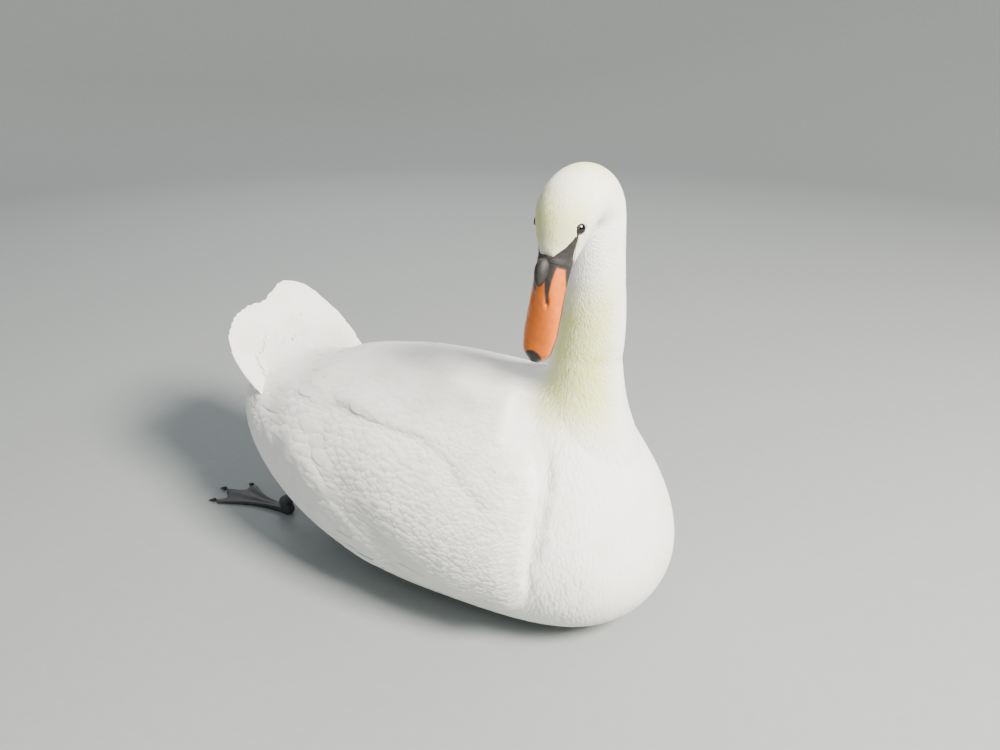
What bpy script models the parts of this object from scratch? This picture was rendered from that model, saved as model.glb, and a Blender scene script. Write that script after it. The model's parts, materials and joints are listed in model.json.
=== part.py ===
"""A life-size mute swan (Cygnus olor), resting on its belly with the neck raised and the head turned to its right.

The bird faces -Y, its left side is +X and +Z is up. The origin is the middle of the flat that the belly rests on.
Trunk, neck and head are one loft of rings, from the tail root to the base of the bill, parted by thin cuts.
Wings, shoulder feathers and the bare black skin of the face are plates that hug this loft.
"""

import math

import bmesh
import bpy
import numpy as np

# ---- Driving dimensions, in metres and degrees ----
GAP = 0.0003  # between neighbouring solids that meet face to face
SINK = 0.0030  # how far a plate is made into the body, before the body is cut out of it

TRUNK_SEGMENTS = 24  # points round a ring of the trunk, neck or head

# Side outline of trunk, breast and neck base: the back and belly points of each station as (forward, up), then the
# half width, how far up the ring its widest level is, and how square the ring is (2 is an ellipse).
TRUNK_STATIONS = {
    "tail_root": ((-0.298, 0.198), (-0.290, 0.152), 0.044, 0.50, 2.2),
    "vent": ((-0.266, 0.208), (-0.252, 0.104), 0.084, 0.50, 2.3),
    "rump": ((-0.212, 0.224), (-0.200, 0.060), 0.112, 0.48, 2.4),
    "loin": ((-0.128, 0.239), (-0.120, 0.018), 0.138, 0.49, 2.3),
    "mid_back": ((-0.036, 0.248), (-0.020, -0.010), 0.150, 0.50, 2.2),
    "shoulder": ((0.042, 0.252), (0.085, -0.012), 0.150, 0.50, 2.15),
    "mantle": ((0.088, 0.255), (0.178, -0.008), 0.144, 0.47, 2.1),
    "breast": ((0.108, 0.264), (0.254, 0.014), 0.132, 0.42, 2.1),
    "breast_front": ((0.122, 0.275), (0.291, 0.066), 0.108, 0.42, 2.1),
    "crop": ((0.131, 0.284), (0.280, 0.132), 0.078, 0.44, 2.0),
    "neck_root": ((0.138, 0.294), (0.248, 0.202), 0.055, 0.47, 2.0),
    "neck_base": ((0.1435, 0.308), (0.229, 0.262), 0.043, 0.49, 2.0),
    "neck_foot": ((0.1465, 0.330), (0.2220, 0.310), 0.038, 0.50, 2.0),
}

# Neck and head as a path: distance from the neck's foot, pitch above the horizon, heading to the bird's right, then
# the half width, the radius towards the nape and the radius towards the throat.
NECK_PATH = {
    "foot": (0.000, 75, 0, 0.038, 0.039, 0.039),
    "lower": (0.020, 86, 0, 0.0365, 0.037, 0.037),
    "middle": (0.060, 90, 10, 0.0335, 0.034, 0.034),
    "upper": (0.100, 90, 50, 0.031, 0.0315, 0.0315),
    "nape": (0.140, 90, 92, 0.0295, 0.0295, 0.0295),
    "poll": (0.182, 12, 95, 0.0300, 0.0310, 0.0295),
    "occiput": (0.225, -68, 95, 0.0290, 0.0290, 0.0270),
    "eye": (0.238, -70, 96, 0.0250, 0.0260, 0.0260),
    "lore": (0.252, -69, 98, 0.0195, 0.0215, 0.0225),
    "bill_base": (0.263, -68, 100, 0.0160, 0.0180, 0.0185),
}
# Where the loft is parted: on the trunk by station number, on the neck by distance from its foot; then ring count.
TRUNK_PARTS = {"trunk": (0, 6, 13), "breast": (6, 10, 9), "neck_lower": (10, 12, 5)}
NECK_PARTS = {"neck_middle": (0.0, 0.075, 4), "neck_upper": (0.075, 0.150, 4), "head": (0.150, 0.263, 14)}

# Bill: along from the base, half width, culmen height above the cutting edge.
BILL_LENGTH = 0.099
BILL_PROFILE = {
    "base": (0.00, 0.0168, 0.0230),
    "knob_end": (0.16, 0.0168, 0.0215),
    "nostril": (0.36, 0.0178, 0.0165),
    "middle": (0.58, 0.0192, 0.0115),
    "spoon": (0.80, 0.0182, 0.0085),
    "nail": (0.94, 0.0128, 0.0070),
    "tip": (1.00, 0.0042, 0.0045),
}
BILL_DROOP = 0.0045  # of its tip below a straight cutting edge
LOWER_DEPTH = 0.0095  # lower mandible at its base
LOWER_REACH = 0.93  # its length over the upper one's
BLACK_BASE = 0.10  # share of the bill that is black at its base
NAIL_START = 0.885
KNOB_RADII = (0.0080, 0.0125, 0.0078)  # across, along and out of the bill
KNOB_AHEAD = 0.0080  # of the bill's start
KNOB_SINK = 0.0015  # of its middle under the line of the forehead
EYE_RADIUS = 0.0063
EYE_DISTANCE = 0.2305  # along the neck's path
EYE_ANGLE = 19  # above the widest level of the head
EYE_PROUD = 0.0016
LORE_SPAN = (0.2385, 0.2622)  # bare skin between eye and bill, along the neck's path
LORE_LIFT = 0.0008  # its height over the head, and its thickness
LORE_THICK = 0.0008

# Tail: a fan round a point inside the rump, each knot a direction to the bird's left and the reach of the vanes.
TAIL_HUB = (0.015, 0.155, 0.134)
TAIL_PITCH = 35
TAIL_FOLD = 7  # each half is tilted up by this about the middle
TAIL_REACH = {
    -42: 0.138, -30: 0.180, -20: 0.204, -9: 0.222, 0: 0.231, 8: 0.232,
    12: 0.243, 18: 0.256, 24: 0.248, 32: 0.207, 40: 0.155,
}
TAIL_VANES = 13
TAIL_INNER = 0.095
TAIL_THICK = 0.0044
TAIL_TIP = 0.0018
TAIL_SCALLOP = 0.010  # depth of the notches between the vanes' tips
COVERT_INNER = 0.090
COVERT_TIP = 0.002
TAIL_COVERTS = {"upper": (1, 0.76, 0.010), "under": (-1, 0.84, 0.026)}  # side, share of the reach, height at the root

# Wings: plates over the trunk, by angle from the widest level up to the back and by station number from the rear.
WING_SPAN = (-30, 84)  # lowest and highest angle of a wing plate
WING_THICK = 0.012
WING_EDGE = 0.003
FLIGHT_THICK = 0.0055
FLIGHT_EDGE = 0.0025
FLIGHT_SCALLOP = 0.10  # of a station, between the tips of the flight feathers
WING_REAR = {-45: 3.9, -11: 3.6, 0: 3.2, 8: 2.8, 25: 2.5, 36: 2.2, 49: 1.9, 65: 2.0, 76: 2.2, 90: 2.5}
WING_FRONT = {-45: 5.9, -10: 6.7, 0: 7.0, 8: 7.4, 13: 7.7, 19: 8.3, 24: 8.8, 40: 8.4, 60: 7.6, 90: 6.4}
FLIGHT_LENGTH = 1.0  # stations from the tips of the flight feathers to where the coverts end
WING_COLUMNS = 13  # points from a wing plate's lower edge to its upper one
STATION_LENGTH = 0.070  # of trunk, about, from one station to the next
TRUNK_RADIUS = 0.14  # about, where the wings lie
SCAPULAR_RIM = 0.0140  # height over the trunk of the shoulder feathers' edge
SCAPULAR_TOP = 0.0175  # and of their middle
SCAPULAR_REAR = 2.6
SCAPULAR_END = 7.9
SCAPULAR_MIDLINE = 89.6  # degrees, a hair short of the midline of the back
SCAPULAR_LOW = {2.6: 62, 3.6: 53, 4.5: 49, 5.2: 48, 5.8: 40, 6.4: 27, 7.0: 23, 8.4: 30}  # lowest angle by station

# Feet: where the toes meet, the way the middle toe points (0 is forward, positive to the left), toe lengths.
TOES = {"inner": (-17, 0.092), "middle": (0, 0.114), "outer": (16, 0.108)}
FEET = {"right": ((-0.046, 0.246), 182), "left": ((0.066, 0.205), 176)}
WEB_THICK = 0.0030
WEB_NOTCH = 0.16  # of the toes' reach, between two toes
TOE_THICK = 0.0075
TOE_WIDTH = 0.0055
FOOT_BASE = 0.0065  # half the width of the foot under the shank
FOOT_BACK = 0.008  # how far it starts behind the middle of the shank's end
KNUCKLE_RISE = 0.0028  # of the foot under the shank, over the toes
CLAW_LENGTH = 0.011
CLAW_RADIUS = 0.0030
SHANK_ROUTE = ((-0.100, 0.095), (-0.045, 0.050), (0.0, 0.0175))  # behind the foot's start, up
TARSUS_RADIUS = 0.0068


def catmull_rom(knots, values, at):
    """Smooth values through the knots, each value a row of numbers."""
    knots, values = np.asarray(knots, float), np.asarray(values, float)
    at = np.atleast_1d(np.asarray(at, float))
    slopes = np.gradient(values, knots, axis=0)
    i = np.clip(np.searchsorted(knots, at, "right") - 1, 0, len(knots) - 2)
    span = (knots[i + 1] - knots[i])[:, None]
    t = (at - knots[i])[:, None] / span
    return (
        (2 * t**3 - 3 * t**2 + 1) * values[i]
        + (t**3 - 2 * t**2 + t) * span * slopes[i]
        + (3 * t**2 - 2 * t**3) * values[i + 1]
        + (t**3 - t**2) * span * slopes[i + 1]
    )


def unit(v):
    return v / np.linalg.norm(v, axis=-1, keepdims=True)


# ---- The loft: a ring is its middle, the ways to its top and left, its four radii and its squareness ----
def trunk_stations():
    rows = []
    for back, belly, half_width, level, square in TRUNK_STATIONS.values():
        top = np.array([0.0, -back[0], back[1]])
        low = np.array([0.0, -belly[0], belly[1]])
        middle = low + level * (top - low)
        radii = np.linalg.norm(top - middle), np.linalg.norm(low - middle), half_width
        rows.append([*middle, *unit(top - low), 1.0, 0.0, 0.0, *radii, square])
    return np.array(rows)


def trunk_at(station):
    """The trunk's ring at a station number, which may lie between two stations."""
    rows = trunk_stations()
    return catmull_rom(range(len(rows)), rows, station)[0]


def neck_path(fine=800):
    """Distances up the neck and the ring at each, carrying on from the trunk's last ring."""
    table = np.array(list(NECK_PATH.values()), float)
    along = np.linspace(0, table[-1, 0], fine)
    pitch = np.radians(np.interp(along, table[:, 0], table[:, 1]))
    heading = np.radians(np.interp(along, table[:, 0], table[:, 2]))
    radii = catmull_rom(table[:, 0], table[:, [4, 5, 3]], along)
    ahead = np.stack([-np.sin(heading), -np.cos(heading), 0 * heading], 1)
    left = np.stack([np.cos(heading), -np.sin(heading), 0 * heading], 1)
    up = np.array([0.0, 0.0, 1.0])
    forward = np.cos(pitch)[:, None] * ahead + np.sin(pitch)[:, None] * up
    nape = -np.sin(pitch)[:, None] * ahead + np.cos(pitch)[:, None] * up
    steps = forward[:-1] * np.diff(along)[:, None]
    middle = trunk_stations()[-1, :3] + np.vstack([np.zeros(3), np.cumsum(steps, 0)])
    return along, np.hstack([middle, nape, left, radii, np.full((fine, 1), 2.0)])


def neck_at(distance):
    along, rows = neck_path()
    return np.array([np.interp(distance, along, column) for column in rows.T])


def ring_points(ring, angles, offset=0.0):
    """Points of a ring at angles from its left side, turning up over the back, moved outwards by offset."""
    middle, top, left = ring[:3], unit(ring[3:6]), unit(ring[6:9])
    back, belly, side, square = ring[9:13]
    c, s = np.cos(angles), np.sin(angles)
    across = np.sign(c) * np.abs(c) ** (2 / square) * (side + offset)
    upward = np.sign(s) * np.abs(s) ** (2 / square) * (np.where(s > 0, back, belly) + offset)
    points = middle + across[:, None] * left + upward[:, None] * top
    points[:, 2] = np.maximum(points[:, 2], 0.0)
    return points


def ring_ahead(ring):
    """The way from tail to bill at a ring, square to its plane."""
    return unit(np.cross(ring[6:9], ring[3:6]))


# ---- Meshes ----
def mesh_object(name, points, faces, material):
    """A closed mesh object with its faces pointing out."""
    mesh = bpy.data.meshes.new(name)
    mesh.from_pydata([tuple(p) for p in points], [], faces)
    made = bmesh.new()
    made.from_mesh(mesh)
    bmesh.ops.remove_doubles(made, verts=made.verts, dist=1e-6)
    bmesh.ops.dissolve_degenerate(made, edges=made.edges, dist=1e-6)
    bmesh.ops.recalc_face_normals(made, faces=made.faces)
    made.to_mesh(mesh)
    made.free()
    mesh.shade_smooth()
    mesh.materials.append(material)
    thing = bpy.data.objects.new(name, mesh)
    bpy.context.scene.collection.objects.link(thing)
    return thing


def tube(name, rings, material):
    """A closed solid through rings of equally many points, with a flat fan over each end."""
    rings = np.array(rings)
    count, around = rings.shape[:2]
    points = [*rings.reshape(-1, 3), rings[0].mean(0), rings[-1].mean(0)]
    faces = []
    for i in range(count - 1):
        for j in range(around):
            k = (j + 1) % around
            a, b, c, d = i * around + j, i * around + k, (i + 1) * around + k, (i + 1) * around + j
            faces += [(a, b, c), (a, c, d)]
    first, last = count * around, count * around + 1
    for j in range(around):
        k = (j + 1) % around
        faces.append((first, k, j))
        faces.append((last, (count - 1) * around + j, (count - 1) * around + k))
    return mesh_object(name, points, faces, material)


def plate(name, inner, outer, material):
    """A closed solid between two like grids of points, with a wall round their edges."""
    inner, outer = np.array(inner), np.array(outer)
    rows, columns = inner.shape[:2]
    points = [*inner.reshape(-1, 3), *outer.reshape(-1, 3)]
    over = rows * columns
    faces = []
    for i in range(rows - 1):
        for j in range(columns - 1):
            a, b = i * columns + j, (i + 1) * columns + j
            faces.append((a, a + 1, b + 1, b))
            faces.append((over + a, over + b, over + b + 1, over + a + 1))
    rim = [j for j in range(columns)]
    rim += [i * columns + columns - 1 for i in range(1, rows)]
    rim += [(rows - 1) * columns + j for j in range(columns - 2, -1, -1)]
    rim += [i * columns for i in range(rows - 2, 0, -1)]
    for a, b in zip(rim, rim[1:] + rim[:1]):
        faces.append((a, over + a, over + b, b))
    return mesh_object(name, points, faces, material)


def ball(name, middle, axes, radii, material, segments=12, rings=8):
    """An ellipsoid with its radii along three axes; the poles lie on the third."""
    thing_rings = []
    for i in range(1, rings):
        polar = math.pi * i / rings
        around = np.linspace(0, 2 * math.pi, segments, endpoint=False)
        x = radii[0] * math.sin(polar) * np.cos(around)
        y = radii[1] * math.sin(polar) * np.sin(around)
        z = np.full(segments, radii[2] * math.cos(polar))
        thing_rings.append(middle + x[:, None] * axes[0] + y[:, None] * axes[1] + z[:, None] * axes[2])
    return tube(name, thing_rings, material)


def cut(thing, cutter):
    """Take the cutter out of thing, and leave the cutter out of the build."""
    cutter.hide_render = True
    cutter.display_type = "WIRE"
    modifier = thing.modifiers.new(cutter.name, "BOOLEAN")
    modifier.operation = "DIFFERENCE"
    modifier.object = cutter


def plain_material(name, colour, roughness):
    made = bpy.data.materials.new(name)
    made.use_nodes = True
    shader = made.node_tree.nodes["Principled BSDF"]
    shader.inputs["Base Color"].default_value = (*colour, 1)
    shader.inputs["Roughness"].default_value = roughness
    made.diffuse_color = (*colour, 1)
    return made


# ---- The body ----
def make_body(material):
    """Each length of the loft; all but the trunk start GAP ahead of the one before."""
    angles = np.linspace(0, 2 * math.pi, TRUNK_SEGMENTS, endpoint=False)
    made = {}
    for ring_at, parts in ((trunk_at, TRUNK_PARTS), (neck_at, NECK_PARTS)):
        for name, (start, end, count) in parts.items():
            rows = [ring_at(at) for at in np.linspace(start, end, count)]
            rings = [ring_points(row, angles) for row in rows]
            if name != "trunk":
                rings[0] = rings[0] + GAP * ring_ahead(rows[0])
            made[name] = tube(name, rings, material)
    return made


# ---- Wings and shoulders ----
def over_body(name, stations, angles, under, over, material, side):
    """A plate between two heights over the trunk, each a grid like stations and angles; side is +1 left, -1 right."""
    inner, outer = [], []
    for row in zip(stations, angles, under, over):
        low, high = [], []
        for station, angle, bottom, top in zip(*row):
            ring = trunk_at(station)
            around = np.array([angle if side > 0 else math.pi - angle])
            low.append(ring_points(ring, around, bottom)[0])
            high.append(ring_points(ring, around, top)[0])
        inner.append(low)
        outer.append(high)
    return plate(name, inner, outer, material)


def make_body_cutter(material):
    """Trunk and breast, a little larger all round, with the same facets."""
    angles = np.linspace(0, 2 * math.pi, TRUNK_SEGMENTS, endpoint=False)
    stations = [at for start, end, count in TRUNK_PARTS.values() for at in np.linspace(start, end, count)]
    rings = [ring_points(trunk_at(at), angles, 2.5 * GAP) for at in sorted(set(stations))]
    return tube("body_cutter", rings, material)


def plate_grid(rows, columns):
    """Shares along a plate from rear to front, and up it from lower edge to upper edge."""
    return np.meshgrid(np.linspace(0, 1, rows), np.linspace(0, 1, columns), indexing="ij")


def rise(share, width):
    """A quarter round from 0 at share 0 to 1 at share width."""
    x = np.clip(share / width, 0, 1)
    return np.sqrt(np.clip(1 - (1 - x) ** 2, 0, 1))


def looked_up(table, at):
    return np.interp(at, list(table), list(table.values()))


def wing_plate(name, side, material, spread, grid):
    """A plate of the wing, its underside sunk in the trunk; spread makes it larger all round."""
    along, up, stations, degrees, over = grid
    sunk = np.full_like(along, -SINK - spread)
    stations = stations + spread / STATION_LENGTH * (2 * along - 1)
    angles = np.radians(degrees) + spread / TRUNK_RADIUS * (2 * up - 1)
    return over_body(name, stations, angles, sunk, over + spread, material, side)


def coverts(name, side, material, spread=0.0):
    """The front plate of a wing, from the wrist back to the flight feathers."""
    along, up = plate_grid(8, WING_COLUMNS)
    degrees = WING_SPAN[0] + (WING_SPAN[1] - WING_SPAN[0]) * up
    rear = looked_up(WING_REAR, degrees) + FLIGHT_LENGTH
    stations = rear + (looked_up(WING_FRONT, degrees) - rear) * along
    round_edges = rise(along, 0.5) * rise(1 - along, 0.12) * rise(up, 0.3) * (0.45 + 0.55 * rise(1 - up, 0.6))
    over = WING_EDGE + (WING_THICK - WING_EDGE) * round_edges
    return wing_plate(name, side, material, spread, (along, up, stations, degrees, over))


def flight_feathers(name, side, material, spread=0.0):
    """The plate behind the coverts, with a scalloped edge of feather tips."""
    along, up = plate_grid(4, WING_COLUMNS)
    degrees = WING_SPAN[0] + (WING_SPAN[1] - WING_SPAN[0]) * up
    rear = looked_up(WING_REAR, degrees)
    tips = rear - FLIGHT_SCALLOP * np.abs(np.sin(math.pi * 0.5 * (WING_COLUMNS - 1) * up))
    stations = tips + (rear + FLIGHT_LENGTH - 3 * GAP / STATION_LENGTH - tips) * along
    over = FLIGHT_EDGE + (FLIGHT_THICK - FLIGHT_EDGE) * rise(along, 0.9) * rise(up, 0.2)
    return wing_plate(name, side, material, spread, (along, up, stations, degrees, over))


def scapulars(name, side, material):
    """Shoulder feathers over the top of the wing, whose lower edge drops towards the wrist."""
    along, up = plate_grid(10, 6)
    stations = SCAPULAR_REAR + (SCAPULAR_END - SCAPULAR_REAR) * along
    low = looked_up(SCAPULAR_LOW, stations)
    degrees = low + (SCAPULAR_MIDLINE - low) * up
    over = SCAPULAR_RIM + (SCAPULAR_TOP - SCAPULAR_RIM) * rise(along, 0.35) * rise(1 - along, 0.35) * rise(up, 0.6)
    return over_body(name, stations, np.radians(degrees), np.full_like(along, 0.0), over, material, side)


def make_wing(side, material, body_cutter):
    word = "left" if side > 0 else "right"
    cut(coverts(f"wing_{word}", side, material), body_cutter)
    cut(flight_feathers(f"wing_{word}_flight", side, material), body_cutter)
    shoulder = scapulars(f"scapulars_{word}", side, material)
    cut(shoulder, body_cutter)
    cut(shoulder, coverts(f"wing_cutter_{word}", side, material, 4 * GAP))
    cut(shoulder, flight_feathers(f"flight_cutter_{word}", side, material, 4 * GAP))


# ---- Tail ----
def tail_grid(lift, tip_lift, inner=TAIL_INNER, reach_share=1.0, vanes=TAIL_VANES, rows=5, per_vane=2):
    """Points of the fan from near its hub to the vanes' tips, raised along its normal by lift to tip_lift."""
    pitch = math.radians(TAIL_PITCH)
    axis = np.array([0.0, math.cos(pitch), math.sin(pitch)])
    normal = np.array([0.0, -math.sin(pitch), math.cos(pitch)])
    ways = np.linspace(min(TAIL_REACH), max(TAIL_REACH), vanes * per_vane + 1)
    reach = reach_share * np.interp(ways, list(TAIL_REACH), list(TAIL_REACH.values()))
    scallop = np.abs(np.sin(math.pi * vanes * (ways - ways[0]) / (ways[-1] - ways[0])))
    reach = np.maximum(reach - TAIL_SCALLOP * (1 - scallop), inner + TAIL_SCALLOP)
    grid = []
    for share in np.linspace(0, 1, rows):
        r = inner + (reach - inner) * share
        x = r * np.sin(np.radians(ways))
        y = r * np.cos(np.radians(ways))
        z = np.abs(x) * math.tan(math.radians(TAIL_FOLD)) + lift + (tip_lift - lift) * share
        grid.append(np.array(TAIL_HUB) + x[:, None] * [1, 0, 0] + y[:, None] * axis + z[:, None] * normal)
    return np.array(grid)


def make_tail(trunk, material, body_cutter):
    """The fan of tail feathers in a slot of the trunk, and the coverts over and under its root."""
    thick, thin = TAIL_THICK / 2, TAIL_TIP / 2
    plate("tail", tail_grid(-thick, -thin), tail_grid(thick, thin), material)
    slot = plate("tail_slot", tail_grid(-thick - GAP, -thin - GAP), tail_grid(thick + GAP, thin + GAP), material)
    cut(trunk, slot)
    for word, (side, share, bulk) in TAIL_COVERTS.items():
        clear = side * (thick + 1.5 * GAP)
        near = tail_grid(clear, clear, COVERT_INNER, share, 7)
        far = tail_grid(side * bulk, side * (thick + COVERT_TIP), COVERT_INNER, share, 7)
        cut(plate(f"tail_coverts_{word}", near, far, material), body_cutter)


# ---- Bill, face and eyes ----
def bill_frame():
    """The bill's start and its ways ahead, left and up (towards the culmen)."""
    ring = neck_at(max(p[0] for p in NECK_PATH.values()))
    return ring, ring_ahead(ring), unit(ring[6:9]), unit(ring[3:6])


def bill_rings(start, end, count, upper):
    """Rings of one mandible between two shares of the bill's length; each is a half moon over or under the edge."""
    ring, ahead, left, up = bill_frame()
    table = np.array(list(BILL_PROFILE.values()))
    base_up = BILL_PROFILE["base"][2] - ring[9]
    rings = []
    for share in np.linspace(start, end, count):
        half, height = catmull_rom(table[:, 0], table[:, 1:], share)[0]
        droop = -BILL_DROOP * share**2
        edge = ring[:3] + (share * BILL_LENGTH + GAP) * ahead + (-base_up + droop) * up
        if upper:
            around = np.linspace(0, math.pi, 13)
            x, z = half * np.cos(around), height * np.sin(around) ** 0.8
            x = np.append(x, half * np.linspace(-0.6, 0.6, 3))
            z = np.append(z, np.full(3, 0.0004))
        else:
            narrow = 0.90 - 0.25 * (share / LOWER_REACH) ** 6
            around = np.linspace(math.pi, 2 * math.pi, 10)
            depth = LOWER_DEPTH * (1 - 0.55 * share)
            x, z = narrow * half * np.cos(around), depth * np.sin(around) - GAP
            x = np.append(x, narrow * half * np.linspace(0.6, -0.6, 3))
            z = np.append(z, np.full(3, -GAP))
        rings.append(edge + x[:, None] * left + z[:, None] * up)
    return rings


def make_bill(head, orange, black):
    ring, ahead, left, up = bill_frame()
    thin = GAP / BILL_LENGTH
    tube("bill_base", bill_rings(0, BLACK_BASE, 2, True), black)
    upper = tube("bill_upper", bill_rings(BLACK_BASE + thin, NAIL_START, 9, True), orange)
    tube("bill_nail", bill_rings(NAIL_START + thin, 0.995, 5, True), black)
    tube("bill_lower", bill_rings(0, LOWER_REACH, 9, False), black)
    axes = (left, ahead, up)
    middle = ring[:3] + KNOB_AHEAD * ahead + (ring[9] - KNOB_SINK) * up
    ball("bill_knob", middle, axes, KNOB_RADII, black)
    hollow = ball("bill_knob_seat", middle, axes, [r + GAP for r in KNOB_RADII], black)
    for thing in (head, bpy.data.objects["bill_base"], upper):
        cut(thing, hollow)


def make_face(head, black, eye_black):
    """Eyes in their sockets, and the bare black lores as thin plates from each eye to the bill."""
    for word, side in (("left", 1), ("right", -1)):
        ring = neck_at(EYE_DISTANCE)
        angle = math.radians(EYE_ANGLE)
        around = np.array([angle if side > 0 else math.pi - angle])
        surface = ring_points(ring, around, 0.0)[0]
        outward = unit(surface - ring[:3])
        middle = surface - (EYE_RADIUS - EYE_PROUD) * outward
        up = unit(np.cross(outward, ring_ahead(ring)))
        axes = (ring_ahead(ring), up, outward)
        ball(f"eye_{word}", middle, axes, [EYE_RADIUS] * 3, eye_black)
        socket = ball(f"eye_socket_{word}", middle, axes, [EYE_RADIUS + GAP] * 3, black)
        cut(head, socket)

        inner, outer = [], []
        for share in np.linspace(0, 1, 5):
            ring = neck_at(LORE_SPAN[0] + (LORE_SPAN[1] - LORE_SPAN[0]) * share)
            middle_angle = math.radians(20 - 12 * share)
            half = math.radians(3 + 42 * share**1.4)
            angles = np.linspace(middle_angle - half, middle_angle + half, 5)
            angles = angles if side > 0 else math.pi - angles
            inner.append(ring_points(ring, angles, LORE_LIFT))
            outer.append(ring_points(ring, angles, LORE_LIFT + LORE_THICK))
        plate(f"lore_{word}", inner, outer, black)


# ---- Legs ----
def make_foot(word, heel, yaw, skin, claw_black):
    """A webbed foot flat on the floor: three toes with webs between them, and a claw ahead of each toe."""
    ways = np.array([w for w, _ in TOES.values()], float)
    lengths = np.array([r for _, r in TOES.values()])
    fan = np.linspace(ways[0] - 3, ways[-1] + 3, 13)
    reach = np.interp(fan, ways, lengths)
    nearest = np.min(np.abs(fan[:, None] - ways[None]), axis=1)
    reach = reach * (1 - WEB_NOTCH * np.sin(np.clip(nearest / 13, 0, 1) * math.pi / 2) ** 1.2)
    inner, outer = [], []
    aside = np.array([math.cos(math.radians(yaw)), math.sin(math.radians(yaw))])
    for share in np.linspace(0, 1, 6):
        r = reach * share - FOOT_BACK * (1 - share)
        heading = np.radians(yaw + fan * share)
        ball_of_foot = FOOT_BASE * (1 - share) * fan / fan[-1]
        x = heel[0] + r * np.sin(heading) + ball_of_foot * aside[0]
        y = heel[1] - r * np.cos(heading) + ball_of_foot * aside[1]
        off = np.radians(nearest) * reach * share
        ridge = np.exp(-((off / TOE_WIDTH) ** 2)) * (1 - 0.45 * share)
        z = WEB_THICK * (1 - 0.3 * share) + (TOE_THICK - WEB_THICK) * ridge + KNUCKLE_RISE * (1 - share) ** 3
        inner.append(np.stack([x, y, 0 * x], 1))
        outer.append(np.stack([x, y, z], 1))
    plate(f"foot_{word}", inner, outer, skin)
    for toe, (way, length) in TOES.items():
        heading = math.radians(yaw + way)
        ahead = np.array([math.sin(heading), -math.cos(heading), 0.0])
        left = np.array([-ahead[1], ahead[0], 0.0])
        rings = []
        for share in np.linspace(0, 1, 4):
            radius = CLAW_RADIUS * (1 - 0.88 * share**1.3)
            middle = np.array([*heel, 0.0]) + (length + GAP + CLAW_LENGTH * share) * ahead
            middle[2] = 0.0034 - 0.0028 * share**2
            around = np.linspace(0, 2 * math.pi, 6, endpoint=False)
            points = middle + radius * np.cos(around)[:, None] * left
            points[:, 2] = np.maximum(points[:, 2] + radius * np.sin(around), 0.0002)
            rings.append(points)
        tube(f"claw_{word}_{toe}", rings, claw_black)


def tarsus_rings(heel, extra):
    """The shank from inside the belly down to the toes, round, and thicker by extra."""
    route = np.array([(heel[0], heel[1] + behind, up) for behind, up in SHANK_ROUTE])
    rings = []
    for share in np.linspace(0, 1, 6):
        middle = catmull_rom([0, 0.5, 1], route, share)[0]
        before, after = catmull_rom([0, 0.5, 1], route, [max(share - 0.02, 0), min(share + 0.02, 1)])
        ahead = unit(after - before)
        left = np.array([1.0, 0.0, 0.0])
        up = np.cross(left, ahead)
        around = np.linspace(0, 2 * math.pi, 10, endpoint=False)
        radius = TARSUS_RADIUS * (1 + 0.25 * abs(2 * share - 1) ** 3) + extra
        rings.append(middle + radius * (np.cos(around)[:, None] * left + np.sin(around)[:, None] * up))
    return rings


def make_legs(trunk, skin, claw_black):
    for word, (heel, yaw) in FEET.items():
        make_foot(word, heel, yaw, skin, claw_black)
        tube(f"tarsus_{word}", tarsus_rings(heel, 0.0), skin)
        cut(trunk, tube(f"leg_socket_{word}", tarsus_rings(heel, GAP), skin))


def main():
    for thing in list(bpy.data.objects):
        bpy.data.objects.remove(thing)
    white = plain_material("white_plumage", (0.86, 0.86, 0.83), 0.8)
    orange = plain_material("orange_bill", (0.80, 0.25, 0.06), 0.45)
    black = plain_material("black_skin", (0.02, 0.02, 0.02), 0.5)
    eye_black = plain_material("eye", (0.015, 0.010, 0.008), 0.05)
    grey = plain_material("leg_skin", (0.04, 0.04, 0.045), 0.55)
    claw_black = plain_material("claw", (0.02, 0.02, 0.02), 0.35)
    body = make_body(white)
    cutter = make_body_cutter(white)
    for side in (1, -1):
        make_wing(side, white, cutter)
    make_tail(body["trunk"], white, cutter)
    make_bill(body["head"], orange, black)
    make_face(body["head"], black, eye_black)
    make_legs(body["trunk"], grey, claw_black)


main()
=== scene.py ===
# %% [markdown]
# # A mute swan at rest
# The swan lies on its belly with its neck raised and its head turned to its right. Its plain solids come with
# the frame: they give the outline out to the tips of the feathers. Here they get what the eye looks for: one
# smooth skin, a coat of real feathers in the sizes that each part of a swan carries, a wet dark eye, a bill
# of horn and webbed feet.
# %% Load the frame
import heapq
import json
import math

import bmesh
import bpy
import numpy as np
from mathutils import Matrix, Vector
from mathutils.bvhtree import BVHTree
from mathutils.kdtree import KDTree

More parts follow.
